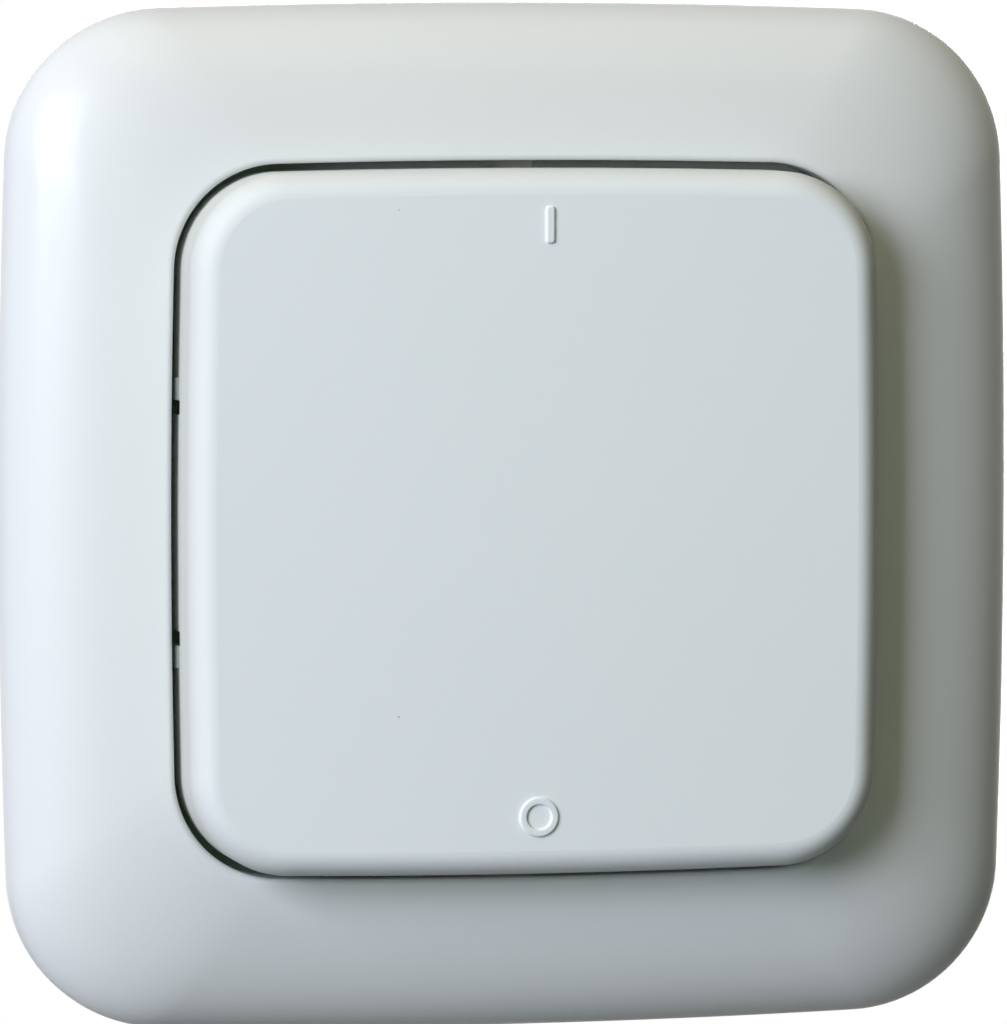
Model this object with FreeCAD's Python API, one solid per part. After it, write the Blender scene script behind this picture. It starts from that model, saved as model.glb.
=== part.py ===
import FreeCAD, Part
import math
import os
from FreeCAD import Vector

# Wireless wall switch: a domed cover frame round one rocker, on a flat wall plate that carries
# a coin-cell radio transmitter. All sizes are in millimetres.
# It is modelled lying on its back: X to the right, Y up the wall, Z out of the wall from its face.
# At the end every piece is turned so that the rocker faces -Y and +Z is up.

# Cover frame
FRAME_SIZE = 86.0
FRAME_CORNER_R = 13.0
SIDE_BOW_R = 887.0
FRAME_RIM_HEIGHT = 1.6
FRAME_LIP_HEIGHT = 8.6
FRAME_CREST_INSET = 4.0
FRAME_WALL = 2.0
LIP_ROUND = 0.5
RIM_ROUND = 0.3
COLLAR_WALL = 1.4
COLLAR_LIFT = 1.6
COLLAR_NOTCH_WIDTH = 10.0
COLLAR_NOTCH_HEIGHT = 1.8
LOCATOR_WALL = 1.2
LOCATOR_LIFT = 0.5
FRAME_RIB_THICK = 1.2
FRAME_RIB_INNER = 9.0
FRAME_RIB_OUTER = 23.5
DOME_SECTIONS = 9
HOLLOW_SECTIONS = 5

# Rocker
ROCKER_SIZE = 58.4
ROCKER_CORNER_R = 8.2
ROCKER_GAP = 0.65
ROCKER_EDGE_R = 2.1
ROCKER_FACE_THICK = 1.8
ROCKER_WALL = 1.5
ROCKER_INNER_R = 1.0
SKIRT_COVER = 3.6
ROCKER_RIB_THICK = 1.0
ROCKER_RIB_DEPTH = 1.0
ROCKER_RIB_X = 9.0
ROCKER_RIB_Y = 21.0
POST_D = 4.0
POST_LENGTH = 2.1
POST_TIP_R = 1.6
POST_CLEARANCE = 0.1
TONGUE_WIDTH = 17.9
TONGUE_SLOT = 1.2
TONGUE_SLOT_TOP = 0.4
TONGUE_BELOW_PIVOT = 2.6
SLOT_RIB_WIDTH = 1.85
SLOT_RIB_PROUD = 0.25
SLOT_RIB_DROP = 0.7

# Raised marks on the rocker's face
MARK_PROUD = 0.22
MARK_SINK = 0.4
MARK_EDGE_R = 0.2
BAR_WIDTH = 0.8
BAR_HEIGHT = 3.1
BAR_CORNER_R = 0.3
BAR_X = 0.81
BAR_Y = 24.65
RING_D = 3.35
RING_BORE_D = 2.0
RING_X = -0.07
RING_Y = -24.29

# Wall plate
PLATE_THICK = 2.0
PLATE_CORNER_R = 6.0
PLATE_EDGE = 0.4
PLATE_CLEARANCE = 0.3
SCREW_EDGE = 6.375
SCREW_SLOT_WIDTH = 4.2
SCREW_SLOT_LENGTH = 8.2
FENCE_WALL = 1.2
FENCE_HEIGHT = 1.4
FENCE_GAP = 11.0

# Snap hooks of the wall plate
HOOK_WIDTH = 6.0
HOOK_THICK = 1.2
HOOK_BARB = 0.5
HOOK_BARB_HEIGHT = 0.9
HOOK_CLEARANCE = 0.2
HOOK_PLAY = 0.1
HOOK_WINDOW = 1.6
HOOK_WINDOW_SIDE = 0.2
FRAME_HOOK_X = 16.0
TRAY_HOOK_X = 15.0
BEAD_DEPTH = 0.6
BEAD_HEIGHT = 0.8
BEAD_SIDE = 1.5
TRAY_POCKET_DEPTH = 0.6
TRAY_POCKET_PLAY = 0.3

# Transmitter case and the rocker's bearings
TRAY_SIDE_ROOM = 3.7
TRAY_CORNER_R = 3.0
TRAY_WALL = 1.2
TRAY_FLOOR = 1.2
CASE_CLEARANCE = 0.2
COVER_HEADROOM = 3.9
COVER_THICK = 1.0
COVER_LIP_THICK = 0.9
COVER_LIP_DEPTH = 1.4
STEM_HOLE_D = 4.8
LAMP_HOLE_D = 2.4
CELL_WINDOW_CLEARANCE = 1.6
PIVOT_ABOVE_FLOOR = 2.4
PIVOT_BOSS_D = 6.4
PIN_D = 3.0
PIN_LENGTH = 2.4
PIN_FIT = 0.06
PIN_END_PLAY = 0.4
PIN_CHAMFER = 0.5
TONGUE_CLEARANCE = 0.35

# Board and its fixing
BOARD_THICK = 1.0
BOARD_STANDOFF = 0.8
BOARD_CLEARANCE = 0.4
BOARD_CORNER_R = 2.0
SCREW_INSET = 3.6
SCREW_D = 2.0
SCREW_FIT = 0.03
SCREW_HOLE_PLAY = 0.2
SCREW_HEAD_D = 3.8
SCREW_HEAD_HEIGHT = 1.4
SCREW_HEAD_PLAY = 0.2
SCREW_SUNK = 0.2
SCREW_DEPTH = 1.4
SCREW_TIP_PLAY = 0.2
SCREW_CROSS_LENGTH = 2.2
SCREW_CROSS_WIDTH = 0.5
SCREW_CROSS_DEPTH = 0.8
BOSS_D = 5.4

# Coin cell and its contacts
CELL_D = 20.0
CELL_THICK = 3.2
CELL_CAP_INSET = 1.2
CELL_CAP_DROP = 0.3
CELL_EDGE = 0.5
CELL_SEAT = 0.5
LEAF_THICK = 0.25
LEAF_LENGTH = 15.0
LEAF_WIDTH = 5.0
LEAF_BUMP_R = 2.5
CLIP_THICK = 0.3
CLIP_WIDTH = 5.0
CLIP_SIDE_PLAY = 0.4
CLIP_FOOT = 1.6
CLIP_BEND_R = 0.6

# Push switches
SWITCH_SIZE = 6.0
SWITCH_BODY_HEIGHT = 3.2
SWITCH_FLOOR = 0.8
SWITCH_BORE_D = 5.0
SWITCH_LID_THICK = 0.3
SWITCH_PEG_D = 0.8
SWITCH_PEG_INSET = 0.65
SWITCH_PEG_PROUD = 0.15
SWITCH_FIT = 0.05
CELL_TO_SWITCH = 2.0
STEM_D = 3.4
STEM_FIT = 0.08
STEM_PROUD = 1.5
STEM_EDGE = 0.3
STEM_FLANGE_D = 4.4
STEM_FLANGE_THICK = 0.6
STEM_TRAVEL = 0.5
STEM_STOP_PLAY = 0.05
DOME_D = 4.6
DOME_THICK = 0.1
DOME_PLAY = 0.04
PIN_WIDTH = 0.7
PIN_THICK = 0.3
PIN_PITCH = 4.5
PIN_RISE = 0.9
PIN_DROP = 0.5
PIN_HOLE_D = 1.0

# Small parts on the board
CHIP_LENGTH = 4.9
CHIP_WIDTH = 3.9
CHIP_HEIGHT = 1.4
CHIP_STANDOFF = 0.1
CHIP_LEGS_PER_SIDE = 4
CHIP_LEG_PITCH = 1.27
CHIP_LEG_WIDTH = 0.42
CHIP_LEG_THICK = 0.2
CHIP_LEG_REACH = 1.05
CHIP_INSET = 5.4
CHIP_Y = 8.0
CAN_D = 9.0
CAN_FLANGE = 0.5
CAN_FLANGE_THICK = 0.4
CAN_HEIGHT = 3.2
CAN_EDGE = 0.4
CAN_INSET = 6.0
CAN_Y = 8.6
TRANSISTOR_LENGTH = 2.9
TRANSISTOR_WIDTH = 1.3
TRANSISTOR_HEIGHT = 1.0
TRANSISTOR_LEG_X = 0.95
TRANSISTOR_INSET = 5.4
TRANSISTOR_Y = -3.6
LAMP_LENGTH = 2.0
LAMP_WIDTH = 1.25
LAMP_HEIGHT = 0.8
LAMP_LENS_HEIGHT = 0.5
LAMP_X = -7.6
LAMP_INSET = 2.6
PASSIVE_LENGTH = 2.0
PASSIVE_WIDTH = 1.25
CAPACITOR_HEIGHT = 0.9
RESISTOR_HEIGHT = 0.5
PASSIVE_EDGE = 0.1
PASSIVE_PITCH = 2.8
CAPACITOR_COUNT = 4
CAPACITOR_INSET = 5.4
CAPACITOR_Y = -7.4
RESISTOR_COUNT = 5
RESISTOR_INSET = 5.4
RESISTOR_Y = 0.6

# Plan sizes that follow from the ones above
FRAME_HALF = FRAME_SIZE / 2
ROCKER_HALF = ROCKER_SIZE / 2
OPENING_HALF = ROCKER_HALF + ROCKER_GAP
OPENING_CORNER_R = ROCKER_CORNER_R + ROCKER_GAP
COLLAR_HALF = OPENING_HALF + COLLAR_WALL
CREST_HALF = OPENING_HALF - FRAME_CREST_INSET
HOOK_REACH = COLLAR_HALF + BEAD_DEPTH + HOOK_CLEARANCE + HOOK_THICK
LOCATOR_ROOM = FRAME_HALF - FRAME_WALL - LOCATOR_WALL - PLATE_CLEARANCE
PLATE_HALF = (HOOK_REACH + LOCATOR_ROOM) / 2
SCREW_Y = PLATE_HALF - SCREW_EDGE
TRAY_HALF = ROCKER_HALF - ROCKER_WALL - TRAY_SIDE_ROOM
TRAY_ROOM = TRAY_HALF - TRAY_WALL
BOARD_HALF = TRAY_ROOM - BOARD_CLEARANCE
SCREW_XY = BOARD_HALF - SCREW_INSET
TONGUE_FACE = ROCKER_HALF - ROCKER_WALL
BOSS_FACE = TONGUE_FACE - TONGUE_CLEARANCE
CELL_R = CELL_D / 2
SWITCH_Y = CELL_R + CELL_TO_SWITCH + SWITCH_SIZE / 2
CHIP_X = CHIP_INSET - BOARD_HALF
CAN_X = BOARD_HALF - CAN_INSET
TRANSISTOR_X = BOARD_HALF - TRANSISTOR_INSET
CAPACITOR_X = BOARD_HALF - CAPACITOR_INSET
RESISTOR_X = RESISTOR_INSET - BOARD_HALF
LAMP_Y = BOARD_HALF - LAMP_INSET

# Heights above the wall that follow from the ones above
FLOOR_Z = PLATE_THICK + TRAY_FLOOR
BOARD_Z = FLOOR_Z + BOARD_STANDOFF
BOARD_TOP = BOARD_Z + BOARD_THICK
COVER_Z = BOARD_TOP + COVER_HEADROOM
COVER_TOP = COVER_Z + COVER_THICK
PIVOT_Z = FLOOR_Z + PIVOT_ABOVE_FLOOR
CELL_Z = BOARD_TOP + CELL_SEAT
CELL_TOP = CELL_Z + CELL_THICK
LID_Z = BOARD_TOP + SWITCH_BODY_HEIGHT
LID_TOP = LID_Z + SWITCH_LID_THICK
STEM_TOP = LID_TOP + STEM_PROUD
FLANGE_TOP = LID_Z - STEM_TRAVEL - STEM_STOP_PLAY
UNDERSIDE_Z = STEM_TOP + POST_CLEARANCE + POST_LENGTH
FACE_Z = UNDERSIDE_Z + ROCKER_FACE_THICK
SKIRT_Z = FRAME_LIP_HEIGHT - SKIRT_COVER
COLLAR_Z = PLATE_THICK + COLLAR_LIFT
BARB_Z = COLLAR_Z + BEAD_HEIGHT + HOOK_PLAY
HOOK_TOP = BARB_Z + HOOK_BARB_HEIGHT


def box(x0, x1, y0, y1, z0, z1):
    return Part.makeBox(x1 - x0, y1 - y0, z1 - z0, Vector(x0, y0, z0))


def post(x, y, diameter, z0, z1):
    return Part.makeCylinder(diameter / 2, z1 - z0, Vector(x, y, z0))


def cross_pin(x0, x1, diameter):
    """Round bar on the rocker's pivot line, from x0 to x1."""
    way = Vector(math.copysign(1, x1 - x0), 0, 0)
    return Part.makeCylinder(diameter / 2, abs(x1 - x0), Vector(x0, 0, PIVOT_Z), way)


def edges_at(shape, z):
    """Edges of a shape that lie flat at height z."""
    return [e for e in shape.Edges if abs(e.BoundBox.ZMin - z) < 1e-4 and abs(e.BoundBox.ZMax - z) < 1e-4]


def rounded_block(half_x, half_y, corner_r, z0, z1):
    block = box(-half_x, half_x, -half_y, half_y, z0, z1)
    upright = [e for e in block.Edges if e.BoundBox.ZLength > (z1 - z0) / 2]
    return block.makeFillet(corner_r, upright)


def bowed_side(half, along):
    """Distance of a bowed side from the middle line, at a place along that side."""
    side_r = SIDE_BOW_R - (FRAME_HALF - half)
    return half - side_r + math.sqrt(side_r ** 2 - along ** 2)


def bowed_outline(half, corner_r, z):
    """Square outline with round corners and gently bowed sides, all in tangent arcs."""
    side_r = SIDE_BOW_R - (FRAME_HALF - half)
    drop = side_r - half
    reach = side_r - corner_r
    corner = (math.sqrt(2 * reach ** 2 - drop ** 2) - drop) / 2
    tangent_x = side_r * corner / reach
    tangent_y = side_r * (corner + drop) / reach - drop
    corner_mid = corner + corner_r / math.sqrt(2)
    side = [Vector(-tangent_x, tangent_y, z), Vector(0, half, z), Vector(tangent_x, tangent_y, z)]
    round_off = [side[2], Vector(corner_mid, corner_mid, z), Vector(tangent_y, tangent_x, z)]
    edges = []
    for quarter in range(4):
        turn = FreeCAD.Rotation(Vector(0, 0, 1), -90 * quarter)
        edges.append(Part.Arc(*[turn.multVec(p) for p in side]).toShape())
        edges.append(Part.Arc(*[turn.multVec(p) for p in round_off]).toShape())
    return Part.Wire(edges)


def bowed_prism(half, corner_r, z0, z1):
    return Part.Face(bowed_outline(half, corner_r, z0)).extrude(Vector(0, 0, z1 - z0))


def dome(half, corner_r, crest_drop, section_count):
    """Pillow form of the frame: a straight rim, then sections that follow a quarter ellipse."""
    crest_share = FRAME_CREST_INSET / (FRAME_HALF - CREST_HALF)
    full_rise = (FRAME_LIP_HEIGHT - FRAME_RIM_HEIGHT) / math.sqrt(1 - crest_share ** 2)
    reach = half - CREST_HALF
    rise = full_rise - crest_drop
    lip_angle = math.acos(FRAME_CREST_INSET / reach)
    corner_slope = (corner_r - OPENING_CORNER_R) / (half - OPENING_HALF)
    angles = [lip_angle * step / (section_count - 2) for step in range(section_count - 1)]
    angles.append(math.acos(FRAME_CREST_INSET / 2 / reach))
    sections = []
    for angle in angles:
        section_half = CREST_HALF + reach * math.cos(angle)
        section_r = OPENING_CORNER_R + (section_half - OPENING_HALF) * corner_slope
        section_z = FRAME_RIM_HEIGHT + rise * math.sin(angle)
        sections.append(bowed_outline(section_half, section_r, section_z))
    rim = bowed_prism(half, corner_r, 0, FRAME_RIM_HEIGHT)
    return rim.fuse(Part.makeLoft(sections, True, False))


def inset_dome(depth, section_count):
    """The frame's pillow form moved inwards, from its sides and from its crest."""
    return dome(FRAME_HALF - depth, FRAME_CORNER_R - depth, depth, section_count)


def cover_frame():
    """Domed cover with a collar round the opening, ribs and a wall that locates it on the plate."""
    outer = inset_dome(0, DOME_SECTIONS)
    mid_wall = inset_dome(FRAME_WALL / 2, HOLLOW_SECTIONS)
    hollow = inset_dome(FRAME_WALL, HOLLOW_SECTIONS)
    collar_r = OPENING_CORNER_R + COLLAR_WALL
    locator_half = PLATE_HALF + PLATE_CLEARANCE
    locator_r = PLATE_CORNER_R + PLATE_CLEARANCE

    collar = bowed_prism(COLLAR_HALF, collar_r, COLLAR_Z, FRAME_LIP_HEIGHT)
    bead = bowed_prism(COLLAR_HALF + BEAD_DEPTH, collar_r + BEAD_DEPTH, COLLAR_Z, COLLAR_Z + BEAD_HEIGHT)
    bead_half = HOOK_WIDTH / 2 + BEAD_SIDE
    inner_walls = [collar]
    for side in (-1, 1):
        x = side * FRAME_HOOK_X
        span = box(x - bead_half, x + bead_half, -FRAME_HALF, FRAME_HALF, COLLAR_Z, FRAME_LIP_HEIGHT)
        inner_walls.append(bead.common(span))
    locator_out = locator_half + LOCATOR_WALL
    locator_out_r = locator_r + LOCATOR_WALL
    locator = rounded_block(locator_out, locator_out, locator_out_r, LOCATOR_LIFT, FRAME_LIP_HEIGHT)
    inner_walls.append(locator.cut(rounded_block(locator_half, locator_half, locator_r, 0, FRAME_LIP_HEIGHT)))
    for offset in (-FRAME_RIB_OUTER, -FRAME_RIB_INNER, FRAME_RIB_INNER, FRAME_RIB_OUTER):
        start = offset - FRAME_RIB_THICK / 2
        end = offset + FRAME_RIB_THICK / 2
        inner_walls.append(box(start, end, -FRAME_HALF, FRAME_HALF, PLATE_THICK, FRAME_LIP_HEIGHT))
        inner_walls.append(box(-FRAME_HALF, FRAME_HALF, start, end, PLATE_THICK, FRAME_LIP_HEIGHT))

    opening = bowed_prism(OPENING_HALF, OPENING_CORNER_R, 0, FACE_Z)
    shell = outer.cut(hollow).cut(opening)
    lip = [e for e in shell.Edges if e.BoundBox.ZMin > FRAME_LIP_HEIGHT - LIP_ROUND]
    shell = shell.makeFillet(LIP_ROUND, lip)
    foot = [e for e in edges_at(shell, 0)
            if max(abs(e.BoundBox.Center.x), abs(e.BoundBox.Center.y)) > FRAME_HALF - FRAME_CORNER_R]
    shell = shell.makeFillet(RIM_ROUND, foot)
    below_collar = bowed_prism(COLLAR_HALF, collar_r, 0, COLLAR_Z)
    notch_half = COLLAR_NOTCH_WIDTH / 2
    notch = box(-notch_half, notch_half, -COLLAR_HALF, COLLAR_HALF, 0, COLLAR_Z + COLLAR_NOTCH_HEIGHT)
    ribbed = inner_walls[0].multiFuse(inner_walls[1:]).common(mid_wall)
    ribbed = ribbed.cut(opening.multiFuse([below_collar, notch]))
    return shell.fuse(ribbed).removeSplitter()


def rocker():
    """Rocker cap: rounded face, skirt, two snap tongues with pivot pins, and raised marks."""
    shell = bowed_prism(ROCKER_HALF, ROCKER_CORNER_R, SKIRT_Z, FACE_Z)
    shell = shell.makeFillet(ROCKER_EDGE_R, edges_at(shell, FACE_Z))
    inner_half = ROCKER_HALF - ROCKER_WALL
    inner_r = ROCKER_CORNER_R - ROCKER_WALL
    hollow = bowed_prism(inner_half, inner_r, SKIRT_Z, UNDERSIDE_Z)
    hollow = hollow.makeFillet(ROCKER_INNER_R, edges_at(hollow, UNDERSIDE_Z))
    shell = shell.cut(hollow)

    tongue_half = TONGUE_WIDTH / 2
    tongue_z = PIVOT_Z - TONGUE_BELOW_PIVOT
    slot_end = tongue_half + TONGUE_SLOT
    rib_half = slot_end + SLOT_RIB_WIDTH
    slot_top = FRAME_LIP_HEIGHT - TONGUE_SLOT_TOP
    rib_top = slot_top - SLOT_RIB_DROP
    skin = bowed_prism(ROCKER_HALF, ROCKER_CORNER_R, tongue_z, SKIRT_Z)
    skin = skin.cut(bowed_prism(inner_half, inner_r, tongue_z, SKIRT_Z))
    added = [skin.common(box(-ROCKER_HALF, ROCKER_HALF, -tongue_half, tongue_half, tongue_z, SKIRT_Z))]
    proud = bowed_prism(ROCKER_HALF + SLOT_RIB_PROUD, ROCKER_CORNER_R + SLOT_RIB_PROUD, SKIRT_Z, rib_top)
    proud = proud.cut(bowed_prism(inner_half, inner_r, SKIRT_Z, rib_top))
    wide = 2 * ROCKER_HALF
    slots = []
    for side in (-1, 1):
        rib = sorted((side * slot_end, side * rib_half))
        slot = sorted((side * tongue_half, side * slot_end))
        added.append(proud.common(box(-wide, wide, rib[0], rib[1], SKIRT_Z, rib_top)))
        for flank in (-1, 1):
            across = sorted((flank * (inner_half - ROCKER_WALL), flank * wide))
            slots.append(box(across[0], across[1], slot[0], slot[1], SKIRT_Z, slot_top))
            if side < 0:
                pin_root = flank * (TONGUE_FACE + ROCKER_WALL / 2)
                pin = cross_pin(pin_root, flank * (TONGUE_FACE - PIN_LENGTH), PIN_D)
                tip = [e for e in pin.Edges if abs(e.BoundBox.Center.x) < TONGUE_FACE - PIN_LENGTH / 2
                       and e.BoundBox.XLength < 1e-4]
                added.append(pin.makeChamfer(PIN_CHAMFER, tip))

    rib_z = UNDERSIDE_Z - ROCKER_RIB_DEPTH
    into_face = UNDERSIDE_Z + ROCKER_FACE_THICK / 2
    half_rib = ROCKER_RIB_THICK / 2
    for side in (-1, 1):
        x = side * ROCKER_RIB_X
        y = side * ROCKER_RIB_Y
        added.append(box(x - half_rib, x + half_rib, -inner_half, inner_half, rib_z, into_face))
        added.append(box(-inner_half, inner_half, y - half_rib, y + half_rib, rib_z, into_face))
        foot = post(0, side * SWITCH_Y, POST_D, STEM_TOP + POST_CLEARANCE, into_face)
        added.append(foot.makeFillet(POST_TIP_R, edges_at(foot, STEM_TOP + POST_CLEARANCE)))
    added.append(bar_mark())
    added.append(ring_mark())
    return shell.multiFuse(added).cut(slots[0].multiFuse(slots[1:])).removeSplitter()


def bar_mark():
    """Raised bar that marks the upper end of the rocker."""
    top = FACE_Z + MARK_PROUD
    bar = rounded_block(BAR_WIDTH / 2, BAR_HEIGHT / 2, BAR_CORNER_R, FACE_Z - MARK_SINK, top)
    bar = bar.makeFillet(MARK_EDGE_R, edges_at(bar, top))
    bar.translate(Vector(BAR_X, BAR_Y, 0))
    return bar


def ring_mark():
    """Raised ring that marks the lower end of the rocker."""
    top = FACE_Z + MARK_PROUD
    ring = post(RING_X, RING_Y, RING_D, FACE_Z - MARK_SINK, top)
    ring = ring.cut(post(RING_X, RING_Y, RING_BORE_D, FACE_Z - MARK_SINK, top))
    return ring.makeFillet(MARK_EDGE_R, edges_at(ring, top))


def snap_hook(x, y, way):
    """Upright hook at (x, y) whose barb points along Y by way, as an outline drawn in Y and Z."""
    outline = [(0, 0), (0, BARB_Z), (HOOK_BARB, BARB_Z), (0, HOOK_TOP),
               (-HOOK_THICK, HOOK_TOP), (-HOOK_THICK, 0)]
    points = [Vector(x - HOOK_WIDTH / 2, y + way * out, z) for out, z in outline]
    return Part.Face(Part.makePolygon(points + points[:1])).extrude(Vector(HOOK_WIDTH, 0, 0))


def hook_places():
    """Every hook as (x, y of its inner face, way its barb points)."""
    bead_face = bowed_side(COLLAR_HALF + BEAD_DEPTH, FRAME_HOOK_X)
    places = []
    for x_side in (-1, 1):
        for y_side in (-1, 1):
            places.append((x_side * FRAME_HOOK_X, y_side * (bead_face + HOOK_CLEARANCE), -y_side))
            places.append((x_side * TRAY_HOOK_X, y_side * (TRAY_HALF + HOOK_CLEARANCE), -y_side))
    return places


def wall_plate():
    """Flat plate for the wall with two screw slots, a fence round the tray and eight snap hooks."""
    plate = rounded_block(PLATE_HALF, PLATE_HALF, PLATE_CORNER_R, 0, PLATE_THICK)
    plate = plate.makeChamfer(PLATE_EDGE, edges_at(plate, 0))
    fence_in = TRAY_HALF + HOOK_CLEARANCE
    fence_out = fence_in + FENCE_WALL
    fence_top = PLATE_THICK + FENCE_HEIGHT
    corner = TRAY_CORNER_R + HOOK_CLEARANCE
    fence = rounded_block(fence_out, fence_out, corner + FENCE_WALL, 0, fence_top)
    fence = fence.cut(rounded_block(fence_in, fence_in, corner, 0, fence_top))
    fence = fence.cut(box(-fence_out, fence_out, -FENCE_GAP, FENCE_GAP, PLATE_THICK, fence_top))
    hooks = [snap_hook(x, y, way) for x, y, way in hook_places()]
    windows = []
    for x, y, way in hook_places():
        half = HOOK_WIDTH / 2 + HOOK_WINDOW_SIDE
        span = sorted((y, y + way * HOOK_WINDOW))
        windows.append(box(x - half, x + half, span[0], span[1], 0, fence_top))
    slot_r = SCREW_SLOT_WIDTH / 2
    slot_run = SCREW_SLOT_LENGTH / 2 - slot_r
    for side in (-1, 1):
        y = side * SCREW_Y
        ends = [post(0, y + end * slot_run, SCREW_SLOT_WIDTH, 0, PLATE_THICK) for end in (-1, 1)]
        middle = box(-slot_r, slot_r, y - slot_run, y + slot_run, 0, PLATE_THICK)
        windows.append(middle.multiFuse(ends).removeSplitter())
    plate = plate.multiFuse([fence]).cut(windows[0].multiFuse(windows[1:]))
    return plate.multiFuse(hooks).removeSplitter()


def screw_places():
    return [(SCREW_XY, SCREW_XY), (-SCREW_XY, -SCREW_XY)]


def transmitter_tray():
    """Rear case half: floor, walls with pockets for the hooks, board posts and two bearing bosses."""
    tray = rounded_block(TRAY_HALF, TRAY_HALF, TRAY_CORNER_R, PLATE_THICK, COVER_Z)
    room = rounded_block(TRAY_ROOM, TRAY_ROOM, TRAY_CORNER_R - TRAY_WALL, FLOOR_Z, COVER_Z)
    tray = tray.cut(room)
    added = []
    bored = []
    for x, y in screw_places():
        added.append(post(x, y, BOSS_D, FLOOR_Z, BOARD_Z))
        added.append(post(-x, y, BOSS_D, FLOOR_Z, BOARD_Z))
        bored.append(post(x, y, SCREW_D + 2 * SCREW_FIT, BOARD_Z - SCREW_DEPTH - SCREW_TIP_PLAY, BOARD_Z))
    for side in (-1, 1):
        added.append(cross_pin(side * TRAY_ROOM, side * BOSS_FACE, PIVOT_BOSS_D))
        bore_end = TONGUE_FACE - PIN_LENGTH - PIN_END_PLAY
        bored.append(cross_pin(side * bore_end, side * BOSS_FACE, PIN_D + 2 * PIN_FIT))
        half = HOOK_WIDTH / 2 + TRAY_POCKET_PLAY
        pocket = sorted((side * (TRAY_HALF - TRAY_POCKET_DEPTH), side * TRAY_HALF))
        for x in (-TRAY_HOOK_X, TRAY_HOOK_X):
            bored.append(box(x - half, x + half, pocket[0], pocket[1],
                             BARB_Z - HOOK_PLAY, HOOK_TOP + TRAY_POCKET_PLAY))
    return tray.multiFuse(added).cut(bored[0].multiFuse(bored[1:])).removeSplitter()


def transmitter_cover():
    """Front case half: plate with a lip inside the tray, screw tubes, cell window and plunger holes."""
    cover = rounded_block(TRAY_HALF, TRAY_HALF, TRAY_CORNER_R, COVER_Z, COVER_TOP)
    lip_half = TRAY_ROOM - CASE_CLEARANCE
    lip_r = TRAY_CORNER_R - TRAY_WALL - CASE_CLEARANCE
    lip_z = COVER_Z - COVER_LIP_DEPTH
    lip = rounded_block(lip_half, lip_half, lip_r, lip_z, COVER_Z)
    lip_room = lip_half - COVER_LIP_THICK
    lip = lip.cut(rounded_block(lip_room, lip_room, lip_r - COVER_LIP_THICK / 2, lip_z, COVER_Z))
    added = [lip]
    bored = [post(0, 0, CELL_D + 2 * CELL_WINDOW_CLEARANCE, COVER_Z, COVER_TOP),
             post(LAMP_X, LAMP_Y, LAMP_HOLE_D, COVER_Z, COVER_TOP)]
    seat = COVER_TOP - SCREW_SUNK - SCREW_HEAD_HEIGHT
    for x, y in screw_places():
        added.append(post(x, y, BOSS_D, BOARD_TOP, COVER_Z))
        bored.append(post(x, y, SCREW_HEAD_D + 2 * SCREW_HEAD_PLAY, seat, COVER_TOP))
        bored.append(post(x, y, SCREW_D + 2 * SCREW_HOLE_PLAY, BOARD_TOP, COVER_TOP))
    for side in (-1, 1):
        bored.append(post(0, side * SWITCH_Y, STEM_HOLE_D, COVER_Z, COVER_TOP))
    return cover.multiFuse(added).cut(bored[0].multiFuse(bored[1:])).removeSplitter()


def cover_screws():
    """Two pan-head self-tapping screws with a cross recess."""
    seat = COVER_TOP - SCREW_SUNK - SCREW_HEAD_HEIGHT
    head_top = seat + SCREW_HEAD_HEIGHT
    screws = []
    for x, y in screw_places():
        head = post(x, y, SCREW_HEAD_D, seat, head_top)
        head = head.makeChamfer(SCREW_HEAD_HEIGHT / 2, edges_at(head, head_top))
        recess_z = head_top - SCREW_CROSS_DEPTH
        long_half = SCREW_CROSS_LENGTH / 2
        slim_half = SCREW_CROSS_WIDTH / 2
        bar = box(x - long_half, x + long_half, y - slim_half, y + slim_half, recess_z, head_top)
        recess = bar.fuse(box(x - slim_half, x + slim_half, y - long_half, y + long_half, recess_z, head_top))
        shank = post(x, y, SCREW_D, BOARD_Z - SCREW_DEPTH, seat)
        shank = shank.makeChamfer(SCREW_D / 4, edges_at(shank, BOARD_Z - SCREW_DEPTH))
        screws.append(head.fuse(shank).cut(recess).removeSplitter())
    return Part.makeCompound(screws)


def circuit_board():
    board = rounded_block(BOARD_HALF, BOARD_HALF, BOARD_CORNER_R, BOARD_Z, BOARD_TOP)
    holes = [post(x, y, SCREW_D + 2 * SCREW_HOLE_PLAY, BOARD_Z, BOARD_TOP) for x, y in screw_places()]
    for side in (-1, 1):
        holes += [post(x, y, PIN_HOLE_D, BOARD_Z, BOARD_TOP) for x, y in pin_places(side)]
    return board.cut(holes[0].multiFuse(holes[1:]))


def coin_cell():
    """Lithium coin cell turned from its half section: can above, smaller cap below."""
    cap_r = CELL_R - CELL_CAP_INSET
    shoulder = CELL_Z + CELL_CAP_DROP
    section = Part.makePolygon([Vector(0, 0, CELL_Z), Vector(cap_r, 0, CELL_Z), Vector(cap_r, 0, shoulder),
                                Vector(CELL_R, 0, shoulder), Vector(CELL_R, 0, CELL_TOP),
                                Vector(0, 0, CELL_TOP), Vector(0, 0, CELL_Z)])
    cell = Part.Face(section).revolve(Vector(0, 0, 0), Vector(0, 0, 1), 360)
    rims = [e for e in edges_at(cell, CELL_TOP) + edges_at(cell, shoulder)
            if e.BoundBox.XMax > CELL_R - CELL_EDGE]
    return cell.makeChamfer(CELL_EDGE, rims)


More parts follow.
